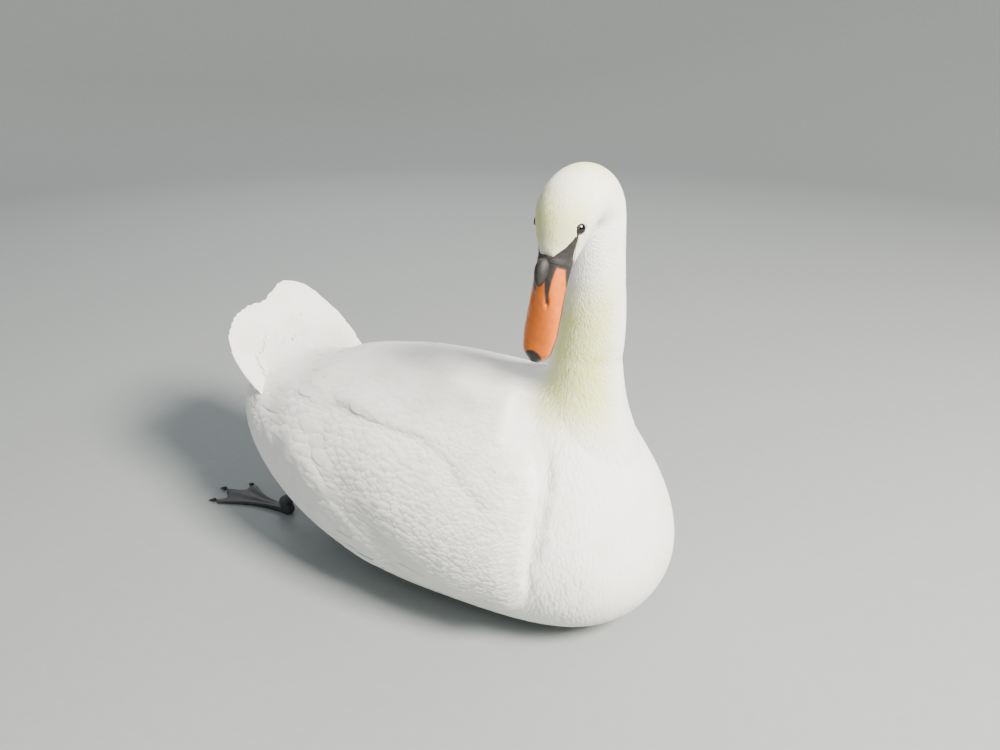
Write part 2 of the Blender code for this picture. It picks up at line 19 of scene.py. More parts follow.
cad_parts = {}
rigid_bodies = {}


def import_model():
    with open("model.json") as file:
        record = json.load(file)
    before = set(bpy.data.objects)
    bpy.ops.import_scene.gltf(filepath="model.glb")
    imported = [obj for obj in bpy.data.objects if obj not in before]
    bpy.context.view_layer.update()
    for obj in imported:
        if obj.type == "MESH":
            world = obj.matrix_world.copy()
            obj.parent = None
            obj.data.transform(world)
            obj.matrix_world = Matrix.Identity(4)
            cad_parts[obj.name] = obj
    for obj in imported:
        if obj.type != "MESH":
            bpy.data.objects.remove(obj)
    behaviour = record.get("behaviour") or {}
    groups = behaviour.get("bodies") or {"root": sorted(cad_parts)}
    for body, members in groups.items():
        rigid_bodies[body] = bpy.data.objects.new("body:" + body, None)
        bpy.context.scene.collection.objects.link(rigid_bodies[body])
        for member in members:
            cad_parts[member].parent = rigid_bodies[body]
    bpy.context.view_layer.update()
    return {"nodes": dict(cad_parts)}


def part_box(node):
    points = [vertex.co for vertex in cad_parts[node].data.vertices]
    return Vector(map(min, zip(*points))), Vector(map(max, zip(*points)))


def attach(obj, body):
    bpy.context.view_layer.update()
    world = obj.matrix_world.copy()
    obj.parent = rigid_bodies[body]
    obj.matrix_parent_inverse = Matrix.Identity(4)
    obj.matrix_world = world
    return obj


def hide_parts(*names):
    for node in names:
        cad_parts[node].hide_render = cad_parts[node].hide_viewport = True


for thing in list(bpy.data.objects):
    bpy.data.objects.remove(thing)
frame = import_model()
nodes = frame["nodes"]

# %% [markdown]
# ## Camera and light
# The viewer stands in front of the bird's right wing and looks down on it a little. A white bird needs one
# large soft key light with a weak fill, so that the folds of the plumage show as soft greys and no feather
# burns out.
# %% Camera and light
CAMERA_PLACE = (-0.80, -0.57, 0.68)
CAMERA_TURN = 58.3  # degrees from +Y towards +X
CAMERA_DIP = 23.8  # degrees below the horizon
CAMERA_LENS = 32.4  # millimetres on a 36 millimetre sensor
LAMPS = {  # place, aim, size in metres, watts, colour
    "key": ((-0.4, -2.2, 2.1), (0, -0.05, 0.15), 0.9, 370, "#fff8ee"),
    "fill": ((-2.3, 0.9, 1.5), (0, 0.05, 0.15), 1.8, 7, "#e6eeff"),
    "rim": ((1.6, 1.5, 1.8), (0, 0, 0.2), 1.2, 26, "#ffffff"),
}
SKY_COLOUR = "#e8ecf2"
SKY_STRENGTH = 0.66


def linear(hex_code):
    """An sRGB hex colour as linear red, green, blue and alpha."""
    shares = [int(hex_code[i:i + 2], 16) / 255 for i in (1, 3, 5)]
    return (*[s / 12.92 if s <= 0.04045 else ((s + 0.055) / 1.055) ** 2.4 for s in shares], 1.0)


def link(thing):
    bpy.context.scene.collection.objects.link(thing)
    return thing


camera = link(bpy.data.objects.new("camera", bpy.data.cameras.new("camera")))
camera.data.lens = CAMERA_LENS
camera.data.sensor_width = 36
camera.data.clip_start = 0.01
camera.location = CAMERA_PLACE
camera.rotation_euler = (math.radians(90 - CAMERA_DIP), 0, math.radians(-CAMERA_TURN))
bpy.context.scene.camera = camera
for name, (place, aim, size, watts, colour) in LAMPS.items():
    lamp = link(bpy.data.objects.new(name, bpy.data.lights.new(name, "AREA")))
    lamp.data.size = size
    lamp.data.energy = watts
    lamp.data.color = linear(colour)[:3]
    lamp.location = place
    lamp.rotation_euler = (Vector(aim) - Vector(place)).to_track_quat("-Z", "Y").to_euler()
world = bpy.data.worlds.new("studio")
bpy.context.scene.world = world
world.use_nodes = True
sky = world.node_tree.nodes["Background"].inputs
sky["Color"].default_value = linear(SKY_COLOUR)
sky["Strength"].default_value = SKY_STRENGTH
print("camera at", CAMERA_PLACE, "and lamps", list(LAMPS))

# %% [markdown]
# ## Materials
# A white feather is not painted white: its keratin barbs are clear and scatter light like snow, so it is very
# pale, rough and matt, and the barbs show as fine slanting lines on both sides of the shaft. An adult's crown
# and neck are often stained yellowish by the water it feeds in. Each material is built from nodes by one
# small helper, and patterns that follow a feather read its own map, in metres across and along its vane.
# %% Node helper
def set_sockets(made, values):
    """Gives a node's input sockets their values, or links from other nodes' sockets."""
    for socket, value in values.items():
        if isinstance(value, bpy.types.NodeSocket):
            made.id_data.links.new(value, made.inputs[socket])
        else:
            made.inputs[socket].default_value = value


def node(tree, kind, values=None, out=0, **settings):
    """Adds a shader node with its settings and what its sockets get, and gives one of its output sockets."""
    made = tree.nodes.new("ShaderNode" + kind)
    for name, value in settings.items():
        setattr(made, name, value)
    set_sockets(made, values or {})
    return made.outputs[out]


COLOURS = {"out": 2, "data_type": "RGBA"}  # what makes a Mix node mix colours, and where its result is


def start_material(name):
    """A new material with its node tree and its Principled shader."""
    made = bpy.data.materials.new(name)
    made.use_nodes = True
    print("material:", made.name)
    return made, made.node_tree, made.node_tree.nodes["Principled BSDF"]


# %% [markdown]
# The plumage is white with broad faint patches of soiling, the stain of pond water where a feather carries
# it, and a slightly warmer shaft. Barbs are drawn about three times as far apart as real ones, or they would
# be too fine to show. A Mix node for colours has its factor at socket 0, its colours at 6 and 7, and its
# result at 2.
# %% Plumage
STAIN_COLOUR = "#dfe58c"
SOIL_SCALE = 22  # patches to a metre: each about 45 millimetres wide
PATCH_SCALE = 75  # of the stain: each patch about 13 millimetres wide
BARB_SLANT = -1.1  # metres along for each metre out from the shaft
SHAFT_TINT = 0.35
SHAFT_RIDGE = 2.0  # height of the shaft in heights of a barb


def plumage_material(name, barb_spacing, barb_depth, shaft_width):
    """Keratin barbs, white and matt: slanting barb lines, a pale shaft, soft soiling and the stain."""
    made, tree, shader = start_material(name)
    here = node(tree, "TexCoord", out="Object")
    soil = node(tree, "TexNoise", {"Vector": here, "Scale": SOIL_SCALE, "Detail": 4})
    soiled = node(tree, "MapRange", {"Value": soil, "From Min": 0.45, "From Max": 0.75})
    white = node(tree, "Mix", {0: soiled, 6: linear("#f7f6f2"), 7: linear("#eceae3")}, **COLOURS)
    stain = node(tree, "Attribute", out="Fac", attribute_name="stain")
    patchy = node(tree, "TexNoise", {"Vector": here, "Scale": PATCH_SCALE, "Detail": 3})
    patches = node(tree, "MapRange", {"Value": patchy, "From Min": 0.25, "From Max": 0.70, "To Min": 0.6})
    stained = node(tree, "Math", {0: stain, 1: patches}, operation="MULTIPLY")
    tinted = node(tree, "Mix", {0: stained, 6: white, 7: linear(STAIN_COLOUR)}, **COLOURS)
    out_from_shaft = node(tree, "SeparateXYZ", {0: node(tree, "UVMap", uv_map="Vane")}, "X")
    along = out_from_shaft.node.outputs["Y"]
    across = node(tree, "Math", {0: out_from_shaft}, operation="ABSOLUTE")
    slant = node(tree, "Math", {0: across, 1: BARB_SLANT, 2: along}, operation="MULTIPLY_ADD")
    turns = node(tree, "Math", {0: slant, 1: 2 * math.pi / barb_spacing}, operation="MULTIPLY")
    barbs = node(tree, "Math", {0: turns}, operation="SINE")
    shaft = node(tree, "MapRange", {
        "Value": across, "From Min": 0.0, "From Max": shaft_width, "To Min": 1.0, "To Max": 0.0,
    })
    shown = node(tree, "Math", {0: shaft, 1: SHAFT_TINT}, operation="MULTIPLY")
    height = node(tree, "Math", {0: shaft, 1: SHAFT_RIDGE, 2: barbs}, operation="MULTIPLY_ADD")
    set_sockets(shader, {
        "Roughness": 0.78, "IOR": 1.50, "Specular IOR Level": 0.25,
        "Sheen Weight": 0.10, "Sheen Roughness": 0.6,
        "Base Color": node(tree, "Mix", {0: shown, 6: tinted, 7: linear("#e9e2cd")}, **COLOURS),
        "Normal": node(tree, "Bump", {"Strength": 0.5, "Distance": barb_depth, "Height": height}),
    })
    return made


down_white = plumage_material("swan_down_keratin", 0.0009, 0.00006, 0.00002)
vane_white = plumage_material("swan_vane_keratin", 0.0011, 0.00008, 0.0005)

# %% [markdown]
# Under the feathers lies down: pale and fluffy in tufts of about a millimetre, so a gap between two feathers
# doesn't show dark.
# %% Skin and down
TUFT_SCALE = 900  # tufts to a metre


def skin_material():
    made, tree, shader = start_material("swan_skin_and_down")
    here = node(tree, "TexCoord", out="Object")
    fluff = node(tree, "TexNoise", {"Vector": here, "Scale": TUFT_SCALE, "Detail": 3})
    stain = node(tree, "Attribute", out="Fac", attribute_name="stain")
    set_sockets(shader, {
        "Roughness": 0.9, "Specular IOR Level": 0.2,
        "Base Color": node(tree, "Mix", {0: stain, 6: linear("#f4f2ec"), 7: linear(STAIN_COLOUR)}, **COLOURS),
        "Normal": node(tree, "Bump", {"Strength": 0.6, "Distance": 0.0006, "Height": fluff}),
    })
    return made


skin_white = skin_material()

# %% [markdown]
# ## The head's own frame
# The bill, the eyes and the bare face all lie along the head, and the head hangs from a turned neck. So their
# places are worked out in a frame of their own: ahead along the bill, left, and up towards the crown. The
# frame's directions are the head's pitch and heading, and its start is the middle of the bill's black base.
# %% The head's frame
HEAD_PITCH = math.radians(-68)
HEAD_HEADING = math.radians(100)  # turned this far to the bird's right
forward = np.array([-math.sin(HEAD_HEADING), -math.cos(HEAD_HEADING), 0.0])
HEAD_LEFT = np.array([math.cos(HEAD_HEADING), -math.sin(HEAD_HEADING), 0.0])
UPWARD = np.array([0.0, 0.0, 1.0])
HEAD_AHEAD = math.cos(HEAD_PITCH) * forward + math.sin(HEAD_PITCH) * UPWARD
HEAD_UP = -math.sin(HEAD_PITCH) * forward + math.cos(HEAD_PITCH) * UPWARD
HEAD_AXES = np.array([HEAD_AHEAD, HEAD_LEFT, HEAD_UP])


def node_points(name):
    return np.array([v.co for v in nodes[name].data.vertices])


base_points = node_points("bill_base") @ HEAD_AXES.T
base_low, base_high = base_points.min(0), base_points.max(0)
HEAD_START = HEAD_AXES.T @ np.array([base_low[0], (base_low[1] + base_high[1]) / 2, base_low[2]])
eye_middle = {side: np.mean(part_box(f"eye_{side}"), axis=0) for side in ("left", "right")}
print("bill starts at", HEAD_START.round(3), "eyes at", {k: v.round(3).tolist() for k, v in eye_middle.items()})


def from_head(ahead, left, up):
    """A place given in metres from the start of the bill's cutting edge."""
    return HEAD_START + ahead * HEAD_AHEAD + left * HEAD_LEFT + up * HEAD_UP


# %% [markdown]
# ## One skin
# Under its feathers a swan is one smooth bag of skin. The solids of trunk, breast, neck, head and wings are
# copied, smoothed by subdivision with their cut edges held, joined and remeshed into one closed surface, so
# no seam shows. They are swollen a little before the remesh, which closes narrow slots, and the skin is drawn
# in again afterwards.
# %% One skin
SKIN_VOXEL = 0.0032
SLOT_CLOSED = 0.0022  # metres that the solids are swollen by
HELD_ANGLE = math.radians(50)
FLESH = {
    "head": ["head"], "neck": ["neck_upper", "neck_middle", "neck_lower"],
    "breast": ["breast"], "trunk": ["trunk"],
    "coverts_left": ["wing_left"], "coverts_right": ["wing_right"],
    "flight_left": ["wing_left_flight"], "flight_right": ["wing_right_flight"],
    "scapulars_left": ["scapulars_left"], "scapulars_right": ["scapulars_right"],
    "tail_coverts": ["tail_coverts_upper", "tail_coverts_under"],
}
REGIONS = list(FLESH)


def as_object(name, shape):
    """A linked object from a bmesh, which is freed."""
    mesh = bpy.data.meshes.new(name)
    shape.to_mesh(mesh)
    shape.free()
    return link(bpy.data.objects.new(name, mesh))


def applied(thing):
    """The mesh of an object with its modifiers applied; the object goes."""
    graph = bpy.context.evaluated_depsgraph_get()
    mesh = bpy.data.meshes.new_from_object(thing.evaluated_get(graph))
    bpy.data.objects.remove(thing)
    return mesh


def smooth_copy(name):
    """A solid's mesh, its triangles paired into quads, its sharp edges held, subdivided twice."""
    made = bmesh.new()
    made.from_mesh(nodes[name].data)
    bmesh.ops.remove_doubles(made, verts=made.verts, dist=1e-5)
    bmesh.ops.recalc_face_normals(made, faces=made.faces)
    bmesh.ops.join_triangles(made, faces=made.faces, angle_face_threshold=0.6, angle_shape_threshold=1.2)
    crease = made.edges.layers.float.new("crease_edge")
    for edge in made.edges:
        if len(edge.link_faces) == 2 and edge.calc_face_angle() > HELD_ANGLE:
            edge[crease] = 1.0
    thing = as_object(name + "_copy", made)
    smoother = thing.modifiers.new("smoother", "SUBSURF")
    smoother.levels = smoother.render_levels = 2
    return applied(thing)


def read(items, name, width, kind=float):
    """A property of all points, edges or faces as rows of numbers."""
    values = np.empty(len(items) * width, kind)
    items.foreach_get(name, values)
    return values.reshape(-1, width)


def vertex_normals(mesh):
    return np.array([v.vector for v in mesh.vertex_normals])


flesh = bmesh.new()
flesh_region = []
for number, region in enumerate(REGIONS):
    for name in FLESH[region]:
        part = smooth_copy(name)
        swollen = read(part.vertices, "co", 3) + SLOT_CLOSED * vertex_normals(part)
        part.vertices.foreach_set("co", swollen.ravel())
        flesh.from_mesh(part)
        flesh_region += [number] * (len(flesh.faces) - len(flesh_region))
flesh_tree = BVHTree.FromBMesh(flesh)
body = as_object("flesh", flesh)
remesh = body.modifiers.new("remesh", "REMESH")
remesh.mode = "VOXEL"
remesh.voxel_size = SKIN_VOXEL
skin_mesh = applied(body)
print("remeshed skin:", len(skin_mesh.vertices), "points,", len(skin_mesh.polygons), "faces")

# %% [markdown]
# ## Reading the skin as arrays
# Numpy works on all points at once, so the skin is shaped by values at its points. The main tool is a spread:
# each point moves towards its neighbours' mean, as often as asked, which smooths places, directions and
# shares alike.
# %% The skin as arrays
EVEN_ROUNDS = 14  # of smoothing, which take the steps of the remesh away
SKIN_PROUD = 0.0004  # metres that the skin stays swollen, because the remesh and the smoothing shrink it
skin_edges = read(skin_mesh.edges, "vertices", 2, int)
skin_count = len(skin_mesh.vertices)
neighbour_count = np.bincount(skin_edges.ravel(), minlength=skin_count)


def spread(values, times, share=0.5):
    """Moves each point's value towards its neighbours' mean, several times over."""
    values = np.array(values, float)
    flat = values.reshape(skin_count, -1)
    a, b = skin_edges.T
    for _ in range(times):
        total = np.empty_like(flat)
        for column in range(flat.shape[1]):
            one_way = np.bincount(a, flat[b, column], skin_count)
            total[:, column] = one_way + np.bincount(b, flat[a, column], skin_count)
        flat += share * (total / neighbour_count[:, None] - flat)
    return flat.reshape(values.shape)


def smooth_places(places, times):
    """Smoothing that doesn't shrink: each step in is followed by a slightly larger step out."""
    for _ in range(times):
        places = spread(places, 1, 0.5)
        places = spread(places, 1, -0.52)
    return places


def unit(rows):
    return rows / np.maximum(np.linalg.norm(rows, axis=-1, keepdims=True), 1e-12)


def flattened(rows, normals):
    """Directions without their part along the normals."""
    return rows - (rows * normals).sum(-1, keepdims=True) * normals


def smooth_step(value, low, high):
    """From 0 at one limit to 1 at the other, with a soft start and end."""
    share = np.clip((value - low) / (high - low), 0, 1)
    return share * share * (3 - 2 * share)


def shaped(places):
    """Gives the skin new places and returns them with their smooth normals."""
    skin_mesh.vertices.foreach_set("co", places.ravel())
    skin_mesh.update()
    return places, unit(spread(vertex_normals(skin_mesh), 3))


skin_places, skin_normals = shaped(smooth_places(read(skin_mesh.vertices, "co", 3), EVEN_ROUNDS))
skin_places, skin_normals = shaped(skin_places - (SLOT_CLOSED - SKIN_PROUD) * skin_normals)
region_at = np.array([flesh_region[flesh_tree.find_nearest(p)[2]] for p in skin_places.tolist()])
print("points by region:", dict(zip(REGIONS, np.bincount(region_at).tolist())))

# %% [markdown]
# ## Soft borders
# The plates of a folded wing are feathers, so their borders are soft steps and not cut edges. Where a plate
# is thick enough its border is smoothed by a share, and fully where the real coat shows no step at all: below
# the wing, and where the shoulder feathers end in front and behind. Thin rims are left alone, because
# smoothing would eat them.
# %% Soft borders
THICK_REACH = 0.1  # metres, the farthest that the body's thickness is looked for
RAY_START = 0.0015  # metres under the skin, so that a ray doesn't meet its own start
SOFTENED = {"flight": 1.0, "scapulars": 0.25, "coverts": 0.15, "tail": 1.0}  # least share for a border
BORDER_ROUNDS = 110


def in_regions(*words):
    """True for the points in regions whose names start with one of some words."""
    return np.isin(region_at, [number for number, name in enumerate(REGIONS) if name.startswith(words)])


def thickness_inwards():
    """How far it is from each point through the body to the skin's other side."""
    tree = BVHTree.FromPolygons(skin_places.tolist(), [tuple(p.vertices) for p in skin_mesh.polygons])
    found = np.full(skin_count, THICK_REACH)
    for i, (place, inward) in enumerate(zip(skin_places.tolist(), (-skin_normals).tolist())):
        hit = tree.ray_cast(Vector(place) + RAY_START * Vector(inward), Vector(inward), THICK_REACH)
        if hit[0] is not None:
            found[i] = hit[3] + RAY_START
    return found


def eased(places, share, rounds):
    """Places moved by a share of the way to where some rounds of smoothing would bring them."""
    return places + share[:, None] * (spread(places, rounds) - places)


thickness = spread(thickness_inwards(), 4)
below = 1 - smooth_step(skin_places[:, 2], 0.07, 0.11)
in_front = 1 - smooth_step(skin_places[:, 1], -0.14, -0.10)
at_ends = np.maximum(in_front, smooth_step(skin_places[:, 1], 0.07, 0.12))
for word, softness in SOFTENED.items():
    inside = spread(1.0 * in_regions(word), 30)
    border = np.clip(8 * inside * (1 - inside), 0, 1) * np.clip((thickness - 0.012) / 0.02, 0, 1)
    fully = at_ends if word == "scapulars" else below
    skin_places = eased(skin_places, np.maximum(softness, fully) * border, BORDER_ROUNDS)
print("thinnest place of the skin:", (1000 * thickness.min()).round(1), "mm through")

# %% [markdown]
# ## Neck foot and rump
# Behind the neck both shoulders' feathers close to one smooth saddle, and over the rump they run out onto the
# back. Both places are smoothed once more, the neck's foot in two passes.
# %% Neck foot and rump
NECK_FOOT = (0.0, -0.116, 0.276)
NECK_FOOT_REACH = 0.048
RUMP_ROUNDS = 300


def near(middle, reach):
    """A share of 1 round a place, which falls off softly at about a distance from it."""
    return np.clip(1.5 * np.exp(-(np.linalg.norm(skin_places - middle, axis=1) / reach) ** 2), 0, 1)


by_foot = near(NECK_FOOT, NECK_FOOT_REACH)
for rounds in (220, 60):
    skin_places = eased(skin_places, by_foot, rounds)
on_rump = smooth_step(skin_places[:, 1], 0.05, 0.11) * (1 - smooth_step(skin_places[:, 1], 0.20, 0.24))
on_rump *= smooth_step(skin_places[:, 2], 0.16, 0.20)
skin_places, skin_normals = shaped(eased(skin_places, on_rump, RUMP_ROUNDS))
print("points at the neck's foot:", int((by_foot > 0.5).sum()), "and on the rump:", int((on_rump > 0.5).sum()))

# %% [markdown]
# ## The fold in front of the wing
# Where a folded wing presses into the breast, the breast feathers part in a soft fold, and the wing's front
# edge swells behind it. Two shares that overlap only along the border, one of the wing and one of the breast,
# mark where it runs.
# %% Wing fold
CREASE_DEPTH = 0.0095
CREASE_SWELL = 0.0035
wing_share = spread(1.0 * in_regions("coverts"), 12)
front_share = spread(1.0 * in_regions("breast", "neck"), 12)
swell_share = np.clip(4 * spread(wing_share, 40) * spread(front_share, 40), 0, 1) * wing_share
on_side = smooth_step(skin_places[:, 2], 0.05, 0.15) * (1 - smooth_step(skin_places[:, 2], 0.205, 0.245))
fold = CREASE_SWELL * swell_share - CREASE_DEPTH * np.clip(4 * wing_share * front_share, 0, 1)
skin_places, skin_normals = shaped(skin_places + (on_side * fold)[:, None] * skin_normals)
print("fold by the wing, from", (1000 * fold.min()).round(1), "to", (1000 * fold.max()).round(1), "mm")

# %% [markdown]
# ## Distance from the bill
# On the head, neck and breast feathers point away from the bill. So each point needs its distance over the
# skin from the bill, found as water would spread from point to point, and the direction in which that
# distance grows.
# %% Distance from the bill
BILL_ROOT_REACH = 0.020  # skin nearer to the bill's start than this is where the distance starts


def distance_over_skin(places, starts):
    """Length of the shortest way along edges from the nearest start."""
    lengths = np.linalg.norm(places[skin_edges[:, 0]] - places[skin_edges[:, 1]], axis=1)
    beside = [[] for _ in range(skin_count)]
    for (a, b), length in zip(skin_edges.tolist(), lengths.tolist()):
        beside[a].append((b, length))
        beside[b].append((a, length))
    found = [math.inf] * skin_count
    queue = [(0.0, start) for start in starts]
    for _, start in queue:
        found[start] = 0.0
    while queue:
        so_far, point = heapq.heappop(queue)
        if so_far > found[point]:
            continue
        for other, length in beside[point]:
            if so_far + length < found[other]:
                found[other] = so_far + length
                heapq.heappush(queue, (found[other], other))
    return np.array(found)


def slope_of(values):
    """The way in which a value rises fastest along the skin."""
    a, b = skin_edges.T
    step = skin_places[b] - skin_places[a]
    pull = ((values[b] - values[a]) / (step**2).sum(1))[:, None] * step
    rows = np.zeros_like(skin_places)
    for column in range(3):
        one_way = np.bincount(a, pull[:, column], skin_count)
        rows[:, column] = one_way + np.bincount(b, pull[:, column], skin_count)
    return flattened(rows, skin_normals)


from_bill = np.linalg.norm(skin_places - HEAD_START, axis=1)
bill_distance = spread(distance_over_skin(skin_places, np.nonzero(from_bill < BILL_ROOT_REACH)[0]), 60)
print("farthest point of skin from the bill:", round(bill_distance.max(), 3), "m over the skin")

# %% [markdown]
# ## The tail's own plane
# The tail is a fan, cocked up behind, and everything in it is measured from a hub: how far out, and how many
# degrees to the left of its middle line. The same few values give the outline, the groove between its two
# lobes, and how far the coverts stand from its middle plane. The skin of the tail plates is pressed into that
# lens, so that the ordered tail coverts lie on it, and the hollow under the tail's root is smoothed.
# %% Tail plates
TAIL_HUB = np.array([0.015, 0.155, 0.134])
TAIL_PITCH = math.radians(35)
TAIL_AHEAD = np.array([0.0, math.cos(TAIL_PITCH), math.sin(TAIL_PITCH)])
TAIL_NORMAL = np.array([0.0, -math.sin(TAIL_PITCH), math.cos(TAIL_PITCH)])
TAIL_FOLD = math.tan(math.radians(7))  # both halves of the fan are tilted up by this
TAIL_REACH = {  # degrees from the fan's middle line: metres from the hub
    -42: 0.138, -30: 0.180, -20: 0.204, -9: 0.222, 0: 0.231, 8: 0.232,
    12: 0.243, 18: 0.256, 24: 0.248, 32: 0.207, 40: 0.155,
}
TAIL_COVERTS = {"upper": (1, 0.80, 0.010, 0.0016), "under": (-1, 0.955, 0.026, 0.0018)}  # side, reach, heights
LENS_START = 0.09  # metres from the hub, where the coverts stand highest
COVERT_THICK = 0.0008
VENT = (0.015, 0.275, 0.190)  # under the tail's root, where the belly's feathers run out onto the fan
VENT_REACH = 0.045


def rim_at(ways):
    """How far the fan reaches at some degrees from its middle line."""
    return np.interp(ways, list(TAIL_REACH), list(TAIL_REACH.values()))


def groove(r, ways):
    """The fan's two lobes part in a shallow groove, which deepens to the rear."""
    return -0.030 * np.clip(r - 0.10, 0, 0.15) * np.exp(-((ways - 7) / 5.5) ** 2)


def covert_height(word, r, ways):
    """How far a side's coverts stand from the fan's middle plane: deep at the root, thin at tips and flanks."""
    side, _, root_height, tip_height = TAIL_COVERTS[word]
    out = np.clip((r - LENS_START) / (rim_at(ways) - LENS_START), 0, 1)
    lens = np.sqrt(np.clip(1 - (ways / 50) ** 2, 0.05, 1))
    return side * (root_height * lens + (tip_height - root_height * lens) * out)


fan = skin_places - TAIL_HUB
fan_r, fan_ways = np.hypot(fan[:, 0], fan @ TAIL_AHEAD), np.degrees(np.arctan2(fan[:, 0], fan @ TAIL_AHEAD))
fan_height = fan @ TAIL_NORMAL - np.abs(fan[:, 0]) * TAIL_FOLD - groove(fan_r, fan_ways)
low = covert_height("under", fan_r, fan_ways) + COVERT_THICK
high = covert_height("upper", fan_r, fan_ways) - COVERT_THICK
in_fan = spread(1.0 * in_regions("tail"), 4) * smooth_step(fan_r, 0.085, 0.115)
slimmer = in_fan * (np.clip(fan_height, low, high) - fan_height)
skin_places = skin_places + slimmer[:, None] * TAIL_NORMAL
by_vent = near(VENT, VENT_REACH)
for rounds in (200, 60):
    skin_places = eased(skin_places, by_vent, rounds)
skin_places, skin_normals = shaped(skin_places)
print("tail plates made slimmer by up to", (1000 * np.abs(slimmer).max()).round(1), "mm")

# %% [markdown]
# ## The lie of the coat
# Each point gets the way in which its feathers lie: away from the bill in front, to the rear over wings, back
# and belly, and out from the hub on the tail. The ways are blended by shares and smoothed, so the coat has no
# parting.
# %% The lie of the coat
REARWARD = np.array([0.0, 1.0, 0.10])
LIE_ROUNDS = 70
is_plate = in_regions("coverts", "flight", "scapulars", "tail")
on_wing = spread(1.0 * is_plate, 6)
on_tail = spread(1.0 * in_regions("tail"), 6)
behind_breast = smooth_step(skin_places[:, 1], -0.20, -0.02) * smooth_step(bill_distance, 0.24, 0.36)
rear_share = np.maximum(np.maximum(behind_breast, on_wing), on_tail)[:, None]
from_hub = unit(skin_places - TAIL_HUB - 0.05 * TAIL_NORMAL)
rearward = unit(REARWARD + on_tail[:, None] * (2 * from_hub - REARWARD))
lie = (1 - rear_share) * unit(slope_of(bill_distance)) + rear_share * rearward
lie = spread(unit(flattened(lie, skin_normals)), LIE_ROUNDS)
lie = unit(flattened(lie, skin_normals))
rear_facing = (skin_normals * unit(rearward)).sum(1)  # 1 on the end of a plate, -1 on its front
print("share of the skin where feathers lie to the rear:", rear_share.mean().round(2))

# %% [markdown]
# ## How long, how dense and how deep
# A swan's coat runs from velvet on the face to feathers as long as a finger over the shoulders. So the length
# is a value at each point of skin, first by region and then smoothed over the borders, and width and spacing
# follow it. The coat's depth is how far feather tips stand over the skin. The skin is moved in by it, but
# never by more than a third of what is thick there.
# %% Feather lengths and the skin's depth
FEATHER_LENGTH = {  # metres: at the region's front, at its rear
    "head": (0.0038, 0.0080), "neck": (0.0080, 0.0150), "breast": (0.0150, 0.0180), "trunk": (0.0180, 0.0260),
    "coverts": (0.0170, 0.0400), "flight": (0.0400, 0.0520), "scapulars": (0.0180, 0.0520),
    "tail": (0.0260, 0.0320),
}
DEEPEST_COAT = 0.0040
FLOOR_GAP = 0.0008  # metres that the skin stays above what it lies on
length_at = np.zeros(skin_count)
for name in REGIONS:
    here = in_regions(name)
    front, rear = FEATHER_LENGTH[name.split("_")[0]]
    along = bill_distance if name in ("head", "neck", "breast") else skin_places[:, 1]
    low, high = np.percentile(along[here], (2, 98))
    length_at[here] = (front + (rear - front) * np.clip((along - low) / (high - low), 0, 1))[here]
length_at = spread(length_at, 30)
coat_depth = np.minimum(0.0008 + 0.10 * length_at, DEEPEST_COAT)
depth_at = np.minimum(coat_depth, 0.32 * thickness)
skin_places = smooth_places(skin_places - depth_at[:, None] * skin_normals, 3)
skin_places[:, 2] = np.maximum(skin_places[:, 2], FLOOR_GAP)
skin_places, skin_normals = shaped(skin_places)
print("feathers", (1000 * length_at.min()).round(1), "to", (1000 * length_at.max()).round(1), "mm long")

# %% [markdown]
# ## The stain
# The tint of pond water is strongest on the crown and face, which the bird plunges, and on the neck's right
# side, which it draws over its wet flank in preening. It fades out at the breast, and is kept as a value at
# each point, which skin and feathers both read. Then the skin is finished as a piece: it stands for all the
# solids that it was made from.
# %% The stain, and the skin as a piece
NECK_AXIS = (0.0, -0.188, 0.0)
STAINED_SIDE = (-0.99, -0.12, 0.0)


def stain_at(places, distances):
    """Strength of the yellowish stain, from 0 to 1, for places on the neck and head."""
    local = places - HEAD_START
    crown = np.exp(-((local @ HEAD_AHEAD + 0.030) / 0.034) ** 2) * smooth_step(local @ HEAD_UP, -0.010, 0.022)
    from_axis = places * [1, 1, 0] - np.array(NECK_AXIS)
    on_neck = smooth_step(distances, 0.06, 0.12) * smooth_step(places[:, 2], 0.235, 0.285)
    on_neck = on_neck * (1 - smooth_step(np.linalg.norm(from_axis, axis=1), 0.050, 0.068))
    front = smooth_step(unit(from_axis) @ np.array(STAINED_SIDE), 0.30, 0.95)
    return np.clip(0.9 * crown + 1.0 * on_neck * front, 0, 1)


def store_value(mesh, name, values):
    mesh.attributes.new(name, "FLOAT", "POINT").data.foreach_set("value", np.asarray(values, np.float32))


def finish_piece(thing, material, replaced=()):
    """A piece has one material, rides on the bird and stands for solids that it replaces."""
    if not thing.data.has_custom_normals:
        thing.data.shade_smooth()
    thing.data.materials.clear()
    thing.data.materials.append(material)
    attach(thing, "root")
    if replaced:
        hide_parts(*replaced)
    print(f"{thing.name}: {len(thing.data.polygons)} faces")
    return thing


store_value(skin_mesh, "stain", stain_at(skin_places, bill_distance))
skin = link(bpy.data.objects.new("skin", skin_mesh))
finish_piece(skin, skin_white, [name for names in FLESH.values() for name in names])

# %% [markdown]
# The skin is unwrapped once. The feathers take their place on this map from their roots.
# %% The skin's map
bpy.context.view_layer.objects.active = skin
skin.select_set(True)
bpy.ops.object.mode_set(mode="EDIT")
bpy.ops.mesh.select_all(action="SELECT")
bpy.ops.uv.smart_project(angle_limit=math.radians(66), island_margin=0.004)
bpy.ops.object.mode_set(mode="OBJECT")
skin.select_set(False)
skin_mesh.uv_layers[0].name = "OFBake"
print("skin map:", skin_mesh.uv_layers.keys())

